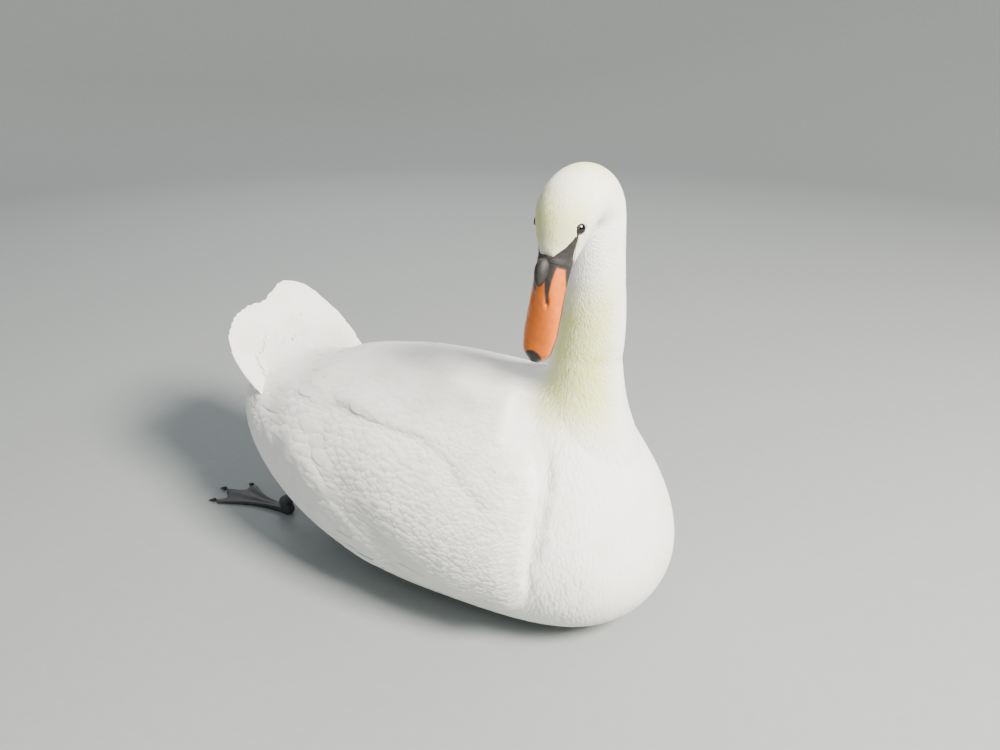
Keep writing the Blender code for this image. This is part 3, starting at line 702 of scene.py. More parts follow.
# %% [markdown]
# ## Bare places
# Feathers are left out where a swan has none: on the eyelids, in the black skin before the eye, and under the
# bill. The black skin is a band between two angles round the head, which open from the eye's front corner to
# the bill's root.
# %% Bare places
LORE_START = -0.0300  # from the bill's start back to the eye's front corner
EYE_OPENING = 0.0061  # from the eyeball's middle; feathers nearer than this are left out
LORE_SHARES = (0.0, 0.25, 0.50, 0.75, 1.0)
LORE_LOW = (17.5, 13, 5, -12, -38)  # degrees from the head's side up to its crown
LORE_HIGH = (22, 26, 37, 58, 82)
HEAD_MIDDLE = 0.0045  # metres from the bill's cutting edge up to the middle that angles are measured from


def lore_band(share):
    """The lowest and highest angle of the bare black skin, at a share of the way from eye to bill."""
    return np.interp(share, LORE_SHARES, LORE_LOW), np.interp(share, LORE_SHARES, LORE_HIGH)


def is_bare(places):
    """True for places in the black skin before the eye, on the lids or under the bill."""
    local = (places - HEAD_START) @ HEAD_AXES.T
    ahead, angle = local[:, 0], np.degrees(np.arctan2(local[:, 2] - HEAD_MIDDLE, np.abs(local[:, 1])))
    share = (ahead - LORE_START) / -LORE_START
    low, high = lore_band(np.clip(share, 0, 1))
    in_lore = (share > 0) & (angle > low + 1) & (angle < high - 1) & (ahead < 0.004)
    by_eye = np.zeros(len(places), bool)
    for middle in eye_middle.values():
        by_eye |= np.linalg.norm(places - middle, axis=1) < EYE_OPENING
    near_bill = np.linalg.norm(places - HEAD_START, axis=1) < 0.040
    return in_lore & near_bill | by_eye | near_bill & (ahead > -0.0006)


bare = is_bare(skin_places)
print("bare points of skin:", int(bare.sum()))

# %% [markdown]
# ## Where feathers root
# Roots are spread by trying many random places and dropping each one that lies too near a root already kept.
# That gives an even coat without rows, and the spacing may change smoothly from millimetres on the face to a
# centimetre on the back. The ends and the thin rims of a plate of feathers carry no roots: the tips of its
# feathers reach there.
# %% Roots
END_FACE = 0.50  # how far rearward a plate's skin may face and still carry roots
THIN_RIM = 0.006
PLATES_FROM = -0.08  # in front of this the plates run into the neck and have no ends
TRIES = 5  # places that are tried for each root that has room
UNDERSIDE = 0.0015  # feathers rooted lower than this would be pressed flat
skin_quads = read(skin_mesh.polygons, "vertices", 4, int)
skin_map = read(skin_mesh.uv_layers["OFBake"].data, "uv", 2).reshape(-1, 4, 2)
skin_tree = BVHTree.FromPolygons(skin_places.tolist(), skin_quads.tolist())
quad_corners = skin_places[skin_quads]
diagonals = quad_corners[:, 2] - quad_corners[:, 0], quad_corners[:, 3] - quad_corners[:, 1]
quad_area = 0.5 * np.linalg.norm(np.cross(*diagonals), axis=1)
print("skin:", quad_area.sum().round(3), "square metres")


def scatter(region, spacing_share, seed):
    """Evenly spread roots in a region: their places in space and on the skin's map."""
    draw = np.random.default_rng(seed)
    chosen = np.nonzero(in_regions(region)[skin_quads[:, 0]])[0]
    spacing = spacing_share * length_at[skin_quads[chosen]].mean(1)
    picks = np.repeat(np.arange(len(chosen)), draw.poisson(TRIES * quad_area[chosen] / spacing**2))
    u, v = draw.random((2, len(picks), 1))
    weights = ((1 - u) * (1 - v), u * (1 - v), u * v, (1 - u) * v)
    places = sum(w * quad_corners[chosen[picks], i] for i, w in enumerate(weights))
    on_map = sum(w * skin_map[chosen[picks], i] for i, w in enumerate(weights))
    corner = skin_quads[chosen[picks], 0]
    on_end = is_plate[corner] & ((rear_facing[corner] > END_FACE) | (thickness[corner] < THIN_RIM))
    on_end &= places[:, 1] > PLATES_FROM
    kept = ~is_bare(places) & (places[:, 2] > UNDERSIDE) & ~on_end
    places, on_map, picks = places[kept], on_map[kept], picks[kept]
    tree = KDTree(len(places))
    for i, place in enumerate(places.tolist()):
        tree.insert(place, i)
    tree.balance()
    free = np.ones(len(places), bool)
    roots = []
    for i, reach in enumerate(spacing[picks].tolist()):
        if free[i]:
            roots.append(i)
            free[[hit[1] for hit in tree.find_range(places[i], reach)]] = False
    return places[roots], on_map[roots]


# %% [markdown]
# ## A feather as a blade
# A feather is a thin closed blade: a cross section of a few points, carried along a line that follows the
# skin, widest past its middle, pointed or rounded at its tip, and arched a little across. All feathers of a
# tract are worked out at once as arrays and joined in one mesh. Each gets two maps: "Vane" in metres for its
# barbs, and "OFBake", a small patch at its root's place on the skin's map.
# %% Blades
PATCH = 0.003  # size of a feather's patch on the skin's map
BODY_CURVE = 0.11  # metres, about the radius of the body that a wide vane bends round
LOWEST = 0.0003  # metres above what the bird lies on


def blade_faces(points, rows):
    """One blade's faces, by its points' numbers: the root's end, the strips over and under, and the tip."""
    faces = [list(range(points))]
    for row in range(rows - 2):
        for j in range(points):
            k = (j + 1) % points
            faces.append([row * points + k, row * points + j, (row + 1) * points + j, (row + 1) * points + k])
    last = (rows - 2) * points
    return faces + [[last + (j + 1) % points, last + j, last + points] for j in range(points)]


def joined_mesh(name, places, faces):
    """A mesh of equal blades, one row of places each, with the same faces for every one."""
    count, per_blade = places.shape[:2]
    corners = np.concatenate(faces)
    sizes = [len(face) for face in faces]
    mesh = bpy.data.meshes.new(name)
    mesh.vertices.add(count * per_blade)
    mesh.vertices.foreach_set("co", places.ravel())
    mesh.loops.add(count * len(corners))
    all_corners = (np.arange(count)[:, None] * per_blade + corners).ravel()
    mesh.loops.foreach_set("vertex_index", all_corners.astype(np.int32))
    mesh.polygons.add(count * len(sizes))
    starts = np.concatenate([[0], np.cumsum(np.tile(sizes, count))[:-1]])
    mesh.polygons.foreach_set("loop_start", starts.astype(np.int32))
    mesh.update(calc_edges=True)
    mesh.shade_smooth()
    return mesh


def build_blades(name, middle, up, side, half_width, form, length, on_map, stain, material, seed, replaced=()):
    """Joins many blades in one piece from their middle lines, one row of points for each share along."""
    count, rows = middle.shape[:2]
    section = np.array(form["section"])
    points = len(section)
    ragged = 1 + form.get("ragged", 0.0) * np.random.default_rng(seed).uniform(-1, 1, (count, rows - 1, points))
    across = section[None, None, :, 0] * half_width[:, :-1, None] * ragged
    lift = section[None, None, :, 1] * half_width[:, :-1, None] - across**2 / (2 * BODY_CURVE)
    rings = middle[:, :-1, None] + across[..., None] * side[:, :-1, None] + lift[..., None] * up[:, :-1, None]
    places = np.concatenate([rings.reshape(count, -1, 3), middle[:, -1:]], axis=1)
    places[..., 2] = np.maximum(places[..., 2], LOWEST)
    faces = blade_faces(points, rows)
    corners = np.concatenate(faces)
    mesh = joined_mesh(name, places, faces)
    along = np.append(np.repeat(form["along"][:-1], points), 1.0)
    flat_across = np.concatenate([across.reshape(count, -1), np.zeros((count, 1))], axis=1)
    vane = np.stack([flat_across, along * length[:, None]], axis=2)[:, corners]
    mesh.uv_layers.new(name="Vane").data.foreach_set("uv", vane.ravel())
    share = np.append(np.tile(section[:, 0], rows - 1), 0.0)[corners]
    high = along[corners]
    high[:points] = -0.1 - 0.1 * np.abs(section[:, 1])  # the root's own face keeps some width
    patch = on_map[:, None] + PATCH * np.stack([share / 2, high - 0.5], axis=1)
    mesh.uv_layers.new(name="OFBake").data.foreach_set("uv", patch.ravel())
    store_value(mesh, "stain", np.repeat(stain, places.shape[1]))
    strip = [-1] + list(range(points)) * (rows - 1)
    under = np.repeat(strip, [len(face) for face in faces]) == points - 1  # corners of the flat underside
    round_off = form["round"] * section[None, None, :, 0, None]
    facing = unit(up[:, :-1, None] + round_off * side[:, :-1, None])
    facing = np.concatenate([facing.reshape(count, -1, 3), up[:, -1:]], axis=1)[:, corners]
    facing[:, under] *= -1
    facing[:, :points] = -np.cross(up[:, 0], side[:, 0])[:, None]
    mesh.normals_split_custom_set(facing.reshape(-1, 3))
    thing = link(bpy.data.objects.new(name, mesh))
    return finish_piece(thing, material, replaced)


# %% [markdown]
# ## Following the skin
# A feather's middle line steps along the skin in the lie of the coat. Where a plate of feathers ends, its
# feathers leave the skin and go straight on, a few millimetres past the edge, and unevenly, so that the edge
# of the coat frays out instead of being cut.
# %% Following the skin
EDGE_TURN = 0.45  # how far rearward the skin may face before a feather leaves it and goes straight on
PLATE_TURN = 0.80  # cosine of the most that a feather bends with a plate's edge
FRONT_FACE = -0.35  # feathers on the front edge of a plate bend round it
STEP_DOWN = 0.0025  # metres that a feather doesn't follow down at an edge
OVERHANG = 0.009  # metres that a feather stands past the edge where it left the skin
ROOT_SUNK = 0.0004  # metres that a root sits in the skin


def on_skin(places):
    """The nearest places on the skin, with the smooth normal, lie and corners there."""
    faces = np.empty(len(places), int)
    nearest = np.empty((len(places), 3))
    for i, place in enumerate(places.tolist()):
        found = skin_tree.find_nearest(place)
        nearest[i] = found[0]
        faces[i] = found[2]
    corners = skin_quads[faces]
    away = np.linalg.norm(skin_places[corners] - nearest[:, None], axis=2)
    weights = 1 / (away**2 + 1e-8)
    weights = (weights / weights.sum(1, keepdims=True))[:, :, None]
    up = unit((skin_normals[corners] * weights).sum(1))
    return nearest, up, unit(flattened((lie[corners] * weights).sum(1), up)), corners


def follow(roots, length, form, turn, heading):
    """Middle points, normals and ways of feathers that follow the skin, and the rows where one has left it."""
    rows = []
    at, along = roots, form["along"]
    for row, share in enumerate(along):
        nearest, up, way, corners = on_skin(at)
        if row == 0:
            goal = unit(rearward[corners].mean(1))
            plate = is_plate[corners[:, 0]] & (rear_facing[corners[:, 0]] > FRONT_FACE)
            over = np.zeros(len(roots), bool)
        else:
            falling = (up * last_way).sum(1) > 0  # the skin turns down ahead; where it turns up it is followed
            bent = falling & (((up * goal).sum(1) > EDGE_TURN) | ((up * first_up).sum(1) < PLATE_TURN))
            over = over | (plate & (bent | (((at - nearest) * up).sum(1) > STEP_DOWN)))
            nearest[over], up[over], way[over] = at[over], last_up[over], last_way[over]
        if heading is not None:
            way = unit(flattened(heading, up))
        if row == 0:
            way = way * np.cos(turn) + np.cross(up, way) * np.sin(turn)
            first_way, first_up = way, up
        else:
            way = unit(flattened(unit(way + first_way), up))
        last_up, last_way = up, way
        rows.append((nearest, up, way, over))
        if row + 1 < len(along):
            at = nearest + ((along[row + 1] - share) * length)[:, None] * way
    return (np.stack(column, axis=1) for column in zip(*rows))


def grow(name, roots, on_map, form, material, seed, length=None, heading=None, overhang=OVERHANG):
    """Feathers from their roots, each following the skin along the lie of the coat or along a given heading."""
    draw = np.random.default_rng(seed)
    _, _, _, corners = on_skin(roots)
    if length is None:
        length = length_at[corners].mean(1)
    length = length * draw.uniform(0.88, 1.12, len(roots))
    half_width = 0.5 * (form["slim"] * length)[:, None] * np.array(form["width"])
    depth = depth_at[corners].mean(1) * draw.uniform(0.95, 1.05, len(roots))
    turn = np.radians(draw.normal(0, form["stray"], len(roots)))[:, None]
    roll = np.radians(draw.normal(0, form["roll"], len(roots)))[:, None, None]
    along = np.array(form["along"])
    _, _, _, over = follow(roots, length, form, turn, heading)
    on_share = np.where(over.any(1), along[over.argmax(1) - 1], 1.0)
    past = overhang * draw.uniform(0.2, 1.8, len(roots))
    length = np.minimum(length, np.maximum(on_share * length + past, 0.4 * length))
    middle, ups, ways, _ = follow(roots, length, form, turn, heading)
    height = np.array(form["height"])[None] * depth[:, None] - ROOT_SUNK * (along == 0)
    middle = middle + height[..., None] * ups
    across = np.cross(ups, ways)
    sides = across * np.cos(roll) + ups * np.sin(roll)
    ups = ups * np.cos(roll) - across * np.sin(roll)
    stain = stain_at(roots, bill_distance[corners].mean(1))
    return build_blades(name, middle, ups, sides, half_width, form, length, on_map, stain, material, seed)


def tract(name, region, spacing_share, form, material, seed, keep=None):
    """A tract of the coat: roots spread over a region, or over what is kept of it, and their feathers."""
    roots, on_map = scatter(region, spacing_share, seed)
    if keep is not None:
        kept = keep(roots)
        roots, on_map = roots[kept], on_map[kept]
    return grow(name, roots, on_map, form, material, seed + 1)


# %% [markdown]
# ## The small feathers
# On the head and neck they are short, narrow and velvety; on the breast they turn to rounded scales; over
# belly, flanks and rump they are longer and looser. Three forms are enough, because length and spacing
# already change with the place. A form gives shares along the feather, and its width and its height in the
# coat at each, then its cross section, its width as a share of its length, how far it strays and rolls in
# degrees, how ragged its edge is, and how round it looks.
# %% Head, neck, breast, belly and back
VELVET = {
    "along": (0.0, 0.38, 0.75, 1.0), "width": (0.55, 1.0, 0.72, 0.0), "height": (0.0, 0.70, 0.92, 1.0),
    "section": ((-1.0, 0.0), (0.0, 0.12), (1.0, 0.0)), "slim": 0.40, "stray": 6, "roll": 3, "round": 0.30,
}
CONTOUR = {
    "along": (0.0, 0.32, 0.66, 0.88, 1.0), "width": (0.50, 1.0, 0.92, 0.55, 0.0),
    "height": (0.0, 0.80, 0.93, 0.98, 1.0), "section": ((-1.0, 0.0), (0.0, 0.07), (1.0, 0.0)),
    "slim": 0.46, "stray": 5, "roll": 2.5, "ragged": 0.06, "round": 0.36,
}
FLANK = {**CONTOUR, "slim": 0.38, "stray": 7}
BACK_FROM = 0.12  # metres up, where the belly's looser feathers end
TAIL_ROOT_REACH = 0.132  # metres from the fan's hub; farther out the ordered tail coverts begin
tract("coat_head", "head", 0.21, VELVET, down_white, 11)
tract("coat_neck", "neck", 0.165, VELVET, down_white, 21)
tract("coat_breast", "breast", 0.165, CONTOUR, down_white, 31)
tract("coat_belly", "trunk", 0.155, FLANK, down_white, 41, lambda roots: roots[:, 2] < BACK_FROM)
tract("coat_back", "trunk", 0.155, CONTOUR, down_white, 51, lambda roots: roots[:, 2] >= BACK_FROM)
tract("coat_tail_root", "tail", 0.16, CONTOUR, down_white, 61,
      lambda roots: np.linalg.norm(roots - TAIL_HUB, axis=1) < TAIL_ROOT_REACH)

# %% [markdown]
# ## Wing coverts and shoulder feathers
# A folded wing is a stack of shingles. Small coverts at the wrist grow to large ones at the rear, each with a
# shaft that shows as a fine ridge. The shoulder feathers lie over the wing's top edge, longer, broad and
# softly rounded.
# %% Coverts and scapulars
SHINGLE = {
    "along": (0.0, 0.25, 0.50, 0.74, 0.90, 1.0), "width": (0.40, 0.90, 1.0, 0.90, 0.55, 0.0),
    "height": (0.0, 0.66, 0.84, 0.94, 1.0, 1.0),
    "section": ((-1.0, 0.0), (-0.5, 0.028), (0.0, 0.055), (0.5, 0.028), (1.0, 0.0)),
    "slim": 0.46, "stray": 3, "roll": 2, "ragged": 0.03, "round": 0.34,
}
for side, seed in (("left", 100), ("right", 200)):
    tract(f"coverts_{side}", f"coverts_{side}", 0.165, SHINGLE, vane_white, seed)
    tract(f"scapulars_{side}", f"scapulars_{side}", 0.17, SHINGLE, vane_white, seed + 10)
    tract(f"flight_bed_{side}", f"flight_{side}", 0.20, SHINGLE, vane_white, seed + 20)

# %% [markdown]
# ## The rows at the rear of a wing
# The last rows of a folded wing are ordered, not scattered: the great coverts, and behind them the flight
# feathers, lie side by side like a hand of cards, each upper one over the next lower. Their tips follow the
# rear edges of the wing's two solids, which are read as the rearmost point at each angle round the trunk. A
# root is drawn back towards its tip until the shoulder feathers don't lie over it. Two rows of long shoulder
# feathers end the shoulders the same way.
# %% Great coverts, flight feathers and long scapulars
WING_AXIS_HEIGHT = 0.12
WING_ANGLES = (-27, 80)  # from the widest level of the trunk down and up
SHOULDER_ANGLES = (44, 84)
EDGE_KNOTS = 12  # places where a rear edge is read
EDGE_WINDOW = 7  # degrees to both sides of such a place
LONG_VANE = {
    "along": (0.0, 0.15, 0.32, 0.50, 0.67, 0.82, 0.92, 0.98, 1.0),
    "width": (0.55, 0.85, 0.97, 1.0, 0.98, 0.86, 0.62, 0.30, 0.0),
    "height": (0.10, 0.45, 0.70, 0.85, 0.95, 1.0, 1.0, 1.0, 1.0),
    "section": ((-1.0, 0.0), (-0.55, 0.025), (-0.06, 0.03), (0.0, 0.07), (0.06, 0.03), (0.55, 0.025),
                (1.0, 0.0)),
    "slim": 0.34, "stray": 1.5, "roll": 2, "ragged": 0.02, "round": 0.24,
}
GREAT_COVERT, LONG_SCAPULAR = {**LONG_VANE, "slim": 0.42}, {**LONG_VANE, "slim": 0.46, "stray": 4}
on_shoulder = in_regions("scapulars")


def rear_edge(name, span, angles):
    """A smooth line through the rearmost points of a wing solid, at some angles."""
    places = node_points(name)
    around = np.degrees(np.arctan2(places[:, 2] - WING_AXIS_HEIGHT, np.abs(places[:, 0])))
    knots = np.linspace(*span, EDGE_KNOTS)
    edge = []
    for knot in knots:
        window = places[np.abs(around - knot) < EDGE_WINDOW]
        edge.append(window[window[:, 1].argmax()])
    edge = np.array(edge)
    return np.stack([np.interp(angles, knots, edge[:, i]) for i in range(3)], axis=1)


def vane_row(name, solid, span, count, length, past_edge, form, seed):
    """Long feathers side by side, with their tips a little past a wing solid's rear edge."""
    rooted = []
    for tip in rear_edge(solid, span, np.linspace(*span, count)):
        for share in (1.0, 0.85, 0.7, 0.55):
            _, _, way, _ = on_skin(tip[None])
            root, _, _, corners = on_skin(tip[None] - (share * length - past_edge) * way)
            if solid.startswith("scapulars") or not on_shoulder[corners[0, 0]]:
                rooted.append((root[0], tip, share * length))
                break
    roots, tips, lengths = (np.array(column) for column in zip(*rooted))
    on_map = skin_map[[skin_tree.find_nearest(root)[2] for root in roots.tolist()]].mean(1)
    return grow(name, roots, on_map, form, vane_white, seed, lengths, unit(tips - roots), past_edge)


for side, seed in (("left", 140), ("right", 240)):
    vane_row(f"flight_feathers_{side}", f"wing_{side}_flight", WING_ANGLES, 17, 0.092, 0.008, LONG_VANE, seed)
    vane_row(f"great_coverts_{side}", f"wing_{side}", WING_ANGLES, 20, 0.070, 0.020, GREAT_COVERT, seed + 5)
    for row, (length, past) in enumerate(((0.055, 0.008), (0.060, 0.018))):
        vane_row(f"long_scapulars_{side}_{row}", f"scapulars_{side}", SHOULDER_ANGLES, 11 - row, length, past,
                 LONG_SCAPULAR, seed + 7 + row)

# %% [markdown]
# ## The tail
# A mute swan has 20 to 24 tail feathers in a fan, each with a stout shaft, the middle pair on top. The fan is
# cocked and its halves are tilted up a little. It is built in the fan's own plane: a feather for each
# direction from the hub, its reach read from the same few driving values as the solid's, and its height
# falling from the middle to the sides. The tips are cut slantwise along the rim, so that the fan's edge is
# one line and not a comb.
# %% Tail feathers and tail coverts
RECTRIX = {
    **LONG_VANE, "width": (0.30, 0.55, 0.75, 0.90, 1.0, 1.0, 0.88, 0.54, 0.0), "stray": 0.6, "ragged": 0.01,
    "section": ((-1.0, 0.0), (-0.55, 0.012), (-0.05, 0.015), (0.0, 0.036), (0.05, 0.015), (0.55, 0.012),
                (1.0, 0.0)),
}
NEAREST_ROOT = 0.045  # metres from the hub
COVERT_ROWS = 10
SMALL_TURN = 0.03  # radians, the step for a slope across the fan
RIM_STEP = 2  # degrees, the step for a slope along its rim
LEFTWARD = np.array([1, 0, 0])


def fan_row(reach_share, length, count, width, lift_at, side, form, uneven, seed):
    """A row of feathers round the tail's hub: middle lines, ups, sides, half widths and lengths."""
    draw = np.random.default_rng(seed)
    step = (max(TAIL_REACH) - min(TAIL_REACH)) / count
    ways = min(TAIL_REACH) + step * (np.arange(count) + 0.5) + draw.normal(0, 0.12 * step, count)
    reach = reach_share * rim_at(ways) - draw.uniform(0, uneven, count)
    start = np.maximum(reach - length, NEAREST_ROOT)
    share = np.array(form["along"])[None, :]
    r = start[:, None] + (reach - start)[:, None] * share
    turn = np.radians(ways[:, None] + draw.normal(0, form["stray"] * 0.4, (count, 1)) * (share - 0.5))

    def height(turn):
        return np.abs(r * np.sin(turn)) * TAIL_FOLD + lift_at(r / reach_share, np.degrees(turn), share)

    x, y, z = r * np.sin(turn), r * np.cos(turn), height(turn)
    middle = TAIL_HUB + x[..., None] * LEFTWARD + y[..., None] * TAIL_AHEAD + z[..., None] * TAIL_NORMAL
    ahead = unit(np.gradient(middle, axis=1))
    slope = (height(turn + SMALL_TURN) - height(turn - SMALL_TURN)) / (2 * SMALL_TURN * r)
    aside = np.cos(turn)[..., None] * LEFTWARD - np.sin(turn)[..., None] * TAIL_AHEAD
    up = unit(flattened(side * (TAIL_NORMAL - slope[..., None] * aside), ahead))
    half_width = 0.5 * width * np.array(form["width"]) * draw.uniform(0.92, 1.08, (count, 1))
    before, after = rim_at(ways - RIM_STEP), rim_at(ways + RIM_STEP)
    slant = np.clip((after - before) / (math.radians(2 * RIM_STEP) * before), -1, 1)
    across = np.cross(up, ahead) - side * (slant[:, None] * share**3)[..., None] * ahead
    return middle, up, across, half_width, reach - start


def fan_piece(name, rows, form, seed, replaced=()):
    """Joins rows of the fan in one piece."""
    middle, up, side, half_width, length = (np.concatenate(column) for column in zip(*rows))
    faces = [skin_tree.find_nearest(place)[2] for place in middle[:, 0].tolist()]
    return build_blades(name, middle, up, side, half_width, form, length, skin_map[faces].mean(1),
                        np.zeros(len(length)), vane_white, seed, replaced)


def stacked(r, ways, share):
    """Each tail feather lies a little over its outer neighbour."""
    return 0.0014 * (0.55 - np.abs(ways - 2) / 42) * (1.2 - 0.6 * share) + groove(r, ways)


long_row = fan_row(1.0, 0.17, 24, 0.048, stacked, 1, RECTRIX, 0.0008, 310)
fan_piece("tail_feathers", [long_row], RECTRIX, 311, ["tail"])
for word, (side, reach_share, _, _) in TAIL_COVERTS.items():
    def over_plate(r, ways, share):
        """Height of a covert over the middle plane, a little more at its own tip."""
        return covert_height(word, r, ways) + side * (0.0006 * share - 0.0005) + groove(r, ways)

    rows = []
    for k in range(COVERT_ROWS):
        reach = reach_share * (1 - 0.066 * k)
        rows.append(fan_row(reach, 0.046, 30 - 2 * k, 0.018, over_plate, side, SHINGLE, 0.014, 320 + k))
    fan_piece(f"tail_coverts_{word}", rows, SHINGLE, 330)

# %% [markdown]
# ## The bill
# The bill is bone under a thin sheath of horn: deep and narrow at its base, flat and wide like a spoon
# towards the tip, and it ends in a hard nail. The sheath is orange. Base, nostrils, cutting edges and nail
# are black, and a black knob of skin sits on its root. Rings of points are bridged into one surface, fine
# enough that the border of black and orange can be kept as a value at its points.
# %% Bill shapes
BILL_LENGTH = 0.099
BILL_PROFILE = np.array([  # share along, half width, height of the ridge over the cutting edge
    (0.00, 0.0168, 0.0230), (0.16, 0.0168, 0.0215), (0.36, 0.0178, 0.0165), (0.58, 0.0192, 0.0115),
    (0.80, 0.0182, 0.0085), (0.94, 0.0128, 0.0070), (1.00, 0.0042, 0.0045),
])
BILL_DROOP = 0.0045
LOWER_DEPTH = 0.0095
LOWER_REACH = 0.93
MANDIBLE_POINTS = 132
ROOTED = -0.07  # the sheath's base reaches this share of its length back under the feathers
NOSTRIL_PLACE = (0.40, 62)  # share along, degrees from the cutting edge up to the ridge
NOSTRIL_SIZE = (0.055, 7)
NOSTRIL_DEPTH = 0.0026


def smooth_curve(at, knots, values):
    """A smooth curve through a few values (cubic Hermite with mean slopes)."""
    slopes = np.gradient(values, knots)
    i = np.clip(np.searchsorted(knots, at, "right") - 1, 0, len(knots) - 2)
    span = knots[i + 1] - knots[i]
    t = (at - knots[i]) / span
    start = (2 * t**3 - 3 * t**2 + 1) * values[i] + (t**3 - 2 * t**2 + t) * span * slopes[i]
    return start + (3 * t**2 - 2 * t**3) * values[i + 1] + (t**3 - t**2) * span * slopes[i + 1]


def bill_size(share):
    """The bill's half width and ridge height at a share of its length."""
    return (smooth_curve(share, BILL_PROFILE[:, 0], BILL_PROFILE[:, column]) for column in (1, 2))


def bridged(name, rings, closed=True):
    """A surface through rings of equally many points, with a face over each end where it is closed."""
    shape = bmesh.new()
    loops = []
    for ring in rings:
        circle = bmesh.ops.create_circle(shape, segments=len(ring), radius=1.0)["verts"]
        for vertex, place in zip(circle, ring):
            vertex.co = place
        loops.append(list({edge for vertex in circle for edge in vertex.link_edges}))
    for before, after in zip(loops, loops[1:]):
        bmesh.ops.bridge_loops(shape, edges=before + after)
    for end in (loops[0], loops[-1]) if closed else ():
        bmesh.ops.contextual_create(shape, geom=end)
    bmesh.ops.recalc_face_normals(shape, faces=shape.faces)
    return as_object(name, shape)


def mandible_ring(share, upper):
    """Points round one mandible at a share of the bill's length."""
    under_feathers = 1 - (4.5 * min(share, 0)) ** 2 + 1.2 * min(share, 0)
    half, height = (size * under_feathers for size in bill_size(max(share, 0)))
    turn = np.linspace(0, 2 * math.pi, MANDIBLE_POINTS, endpoint=False)
    left, up = np.cos(turn), np.sin(turn)
    if upper:
        ridge = np.where(up > 0, np.abs(up) ** 0.8 * height, 0.06 * up * height)
        degrees = np.degrees(np.arcsin(np.clip(up, -1, 1)))
        along, aside = ((at - NOSTRIL_PLACE[i]) / NOSTRIL_SIZE[i] for i, at in enumerate((share, degrees)))
        shrink = 1 - np.exp(-(along**2 + aside**2) * 1.4) * NOSTRIL_DEPTH / max(height, 0.004)
        x, z = half * left * shrink, ridge * shrink
    else:
        narrow = half * (0.90 - 0.25 * (share / LOWER_REACH) ** 6)
        depth = LOWER_DEPTH * (1 - 0.55 * share)
        x = narrow * left
        z = np.where(up < 0, depth * up, -0.0006 * up) - 0.0003
    droop = -BILL_DROOP * share**2
    return np.array([from_head(share * BILL_LENGTH, a, b + droop) for a, b in zip(x, z)])


nail_shares = 1 - 0.06 * (1 - np.linspace(0.1, 0.96, 9)) ** 1.6  # rings crowd towards the rounded tip
upper_shares = np.concatenate([np.linspace(ROOTED, 0.94, 112), nail_shares])
lower_shares = np.linspace(ROOTED, LOWER_REACH, 30)
bill_upper = bridged("bill_upper_horn", [mandible_ring(share, True) for share in upper_shares])
bill_lower = bridged("bill_lower_horn", [mandible_ring(share, False) for share in lower_shares])
print("bill:", len(bill_upper.data.vertices), "and", len(bill_lower.data.vertices), "points")

# %% [markdown]
# ## Black and orange
# Where the sheath is black is worked out at each of its points, from its share along the bill and its angle
# from the cutting edge up to the ridge: a band at the base, a streak round each nostril, the cutting edges,
# the corners of the mouth and the nail.
# %% The black of the bill
NOSTRIL_LOW = ((0.04, 0.12, 0.22, 0.32, 0.43), (40, 46, 52, 57, 62))  # shares along, degrees up from the edge
NOSTRIL_HIGH = ((0.04, 0.13, 0.20, 0.32, 0.43), (95, 95, 76, 72, 68))


def black_share(places):
    """1 where the bill's sheath is black: base, nostrils, edges and nail; 0 where it is orange."""
    local = (places - HEAD_START) @ HEAD_AXES.T
    share = local[:, 0] / BILL_LENGTH
    half, height = bill_size(share)
    up = np.clip((local[:, 2] + BILL_DROOP * share**2) / height, 0, 1) ** 1.25
    aside = np.clip(np.abs(local[:, 1]) / half, 0, 1)
    degrees = np.degrees(np.arctan2(up, aside))
    base = 1 - smooth_step(share, 0.062, 0.075)
    nail = smooth_step(share - 0.085 * aside**2, 0.885, 0.895)
    edge = 1 - smooth_step(up * height, 0.0006, 0.0011)
    corner = 1 - smooth_step(degrees - np.interp(share, (0.05, 0.25), (18, 0)), -2, 2)
    low, high = (np.interp(share, *band) for band in (NOSTRIL_LOW, NOSTRIL_HIGH))
    nostril = smooth_step(degrees - low, -3, 3) * (1 - smooth_step(degrees - high, -3, 3))
    nostril = nostril * smooth_step(-share, -0.44, -0.42)
    return np.clip(np.maximum.reduce([base, nail, edge, corner, nostril]), 0, 1)


black = black_share(read(bill_upper.data.vertices, "co", 3))
store_value(bill_upper.data, "black", black)
print("black share of the sheath's points:", black.mean().round(2))

# %% [markdown]
# ## Horn and bare skin
# Horn is keratin that grew in thin layers: satin, with a faint mottle and pores. The black at the base, the
# legs and the claws are leathery: duller, darker and finely wrinkled in cells of one to three millimetres.
# %% Horn and bare skin materials
MOTTLE_SCALE = 190  # blotches to a metre: each about 5 millimetres wide
PORE_SCALE = 1300  # pores to a metre, drawn a little coarser than real ones
CLOUD_SHARE = 0.25  # clouds of the skin's colour to a wrinkle


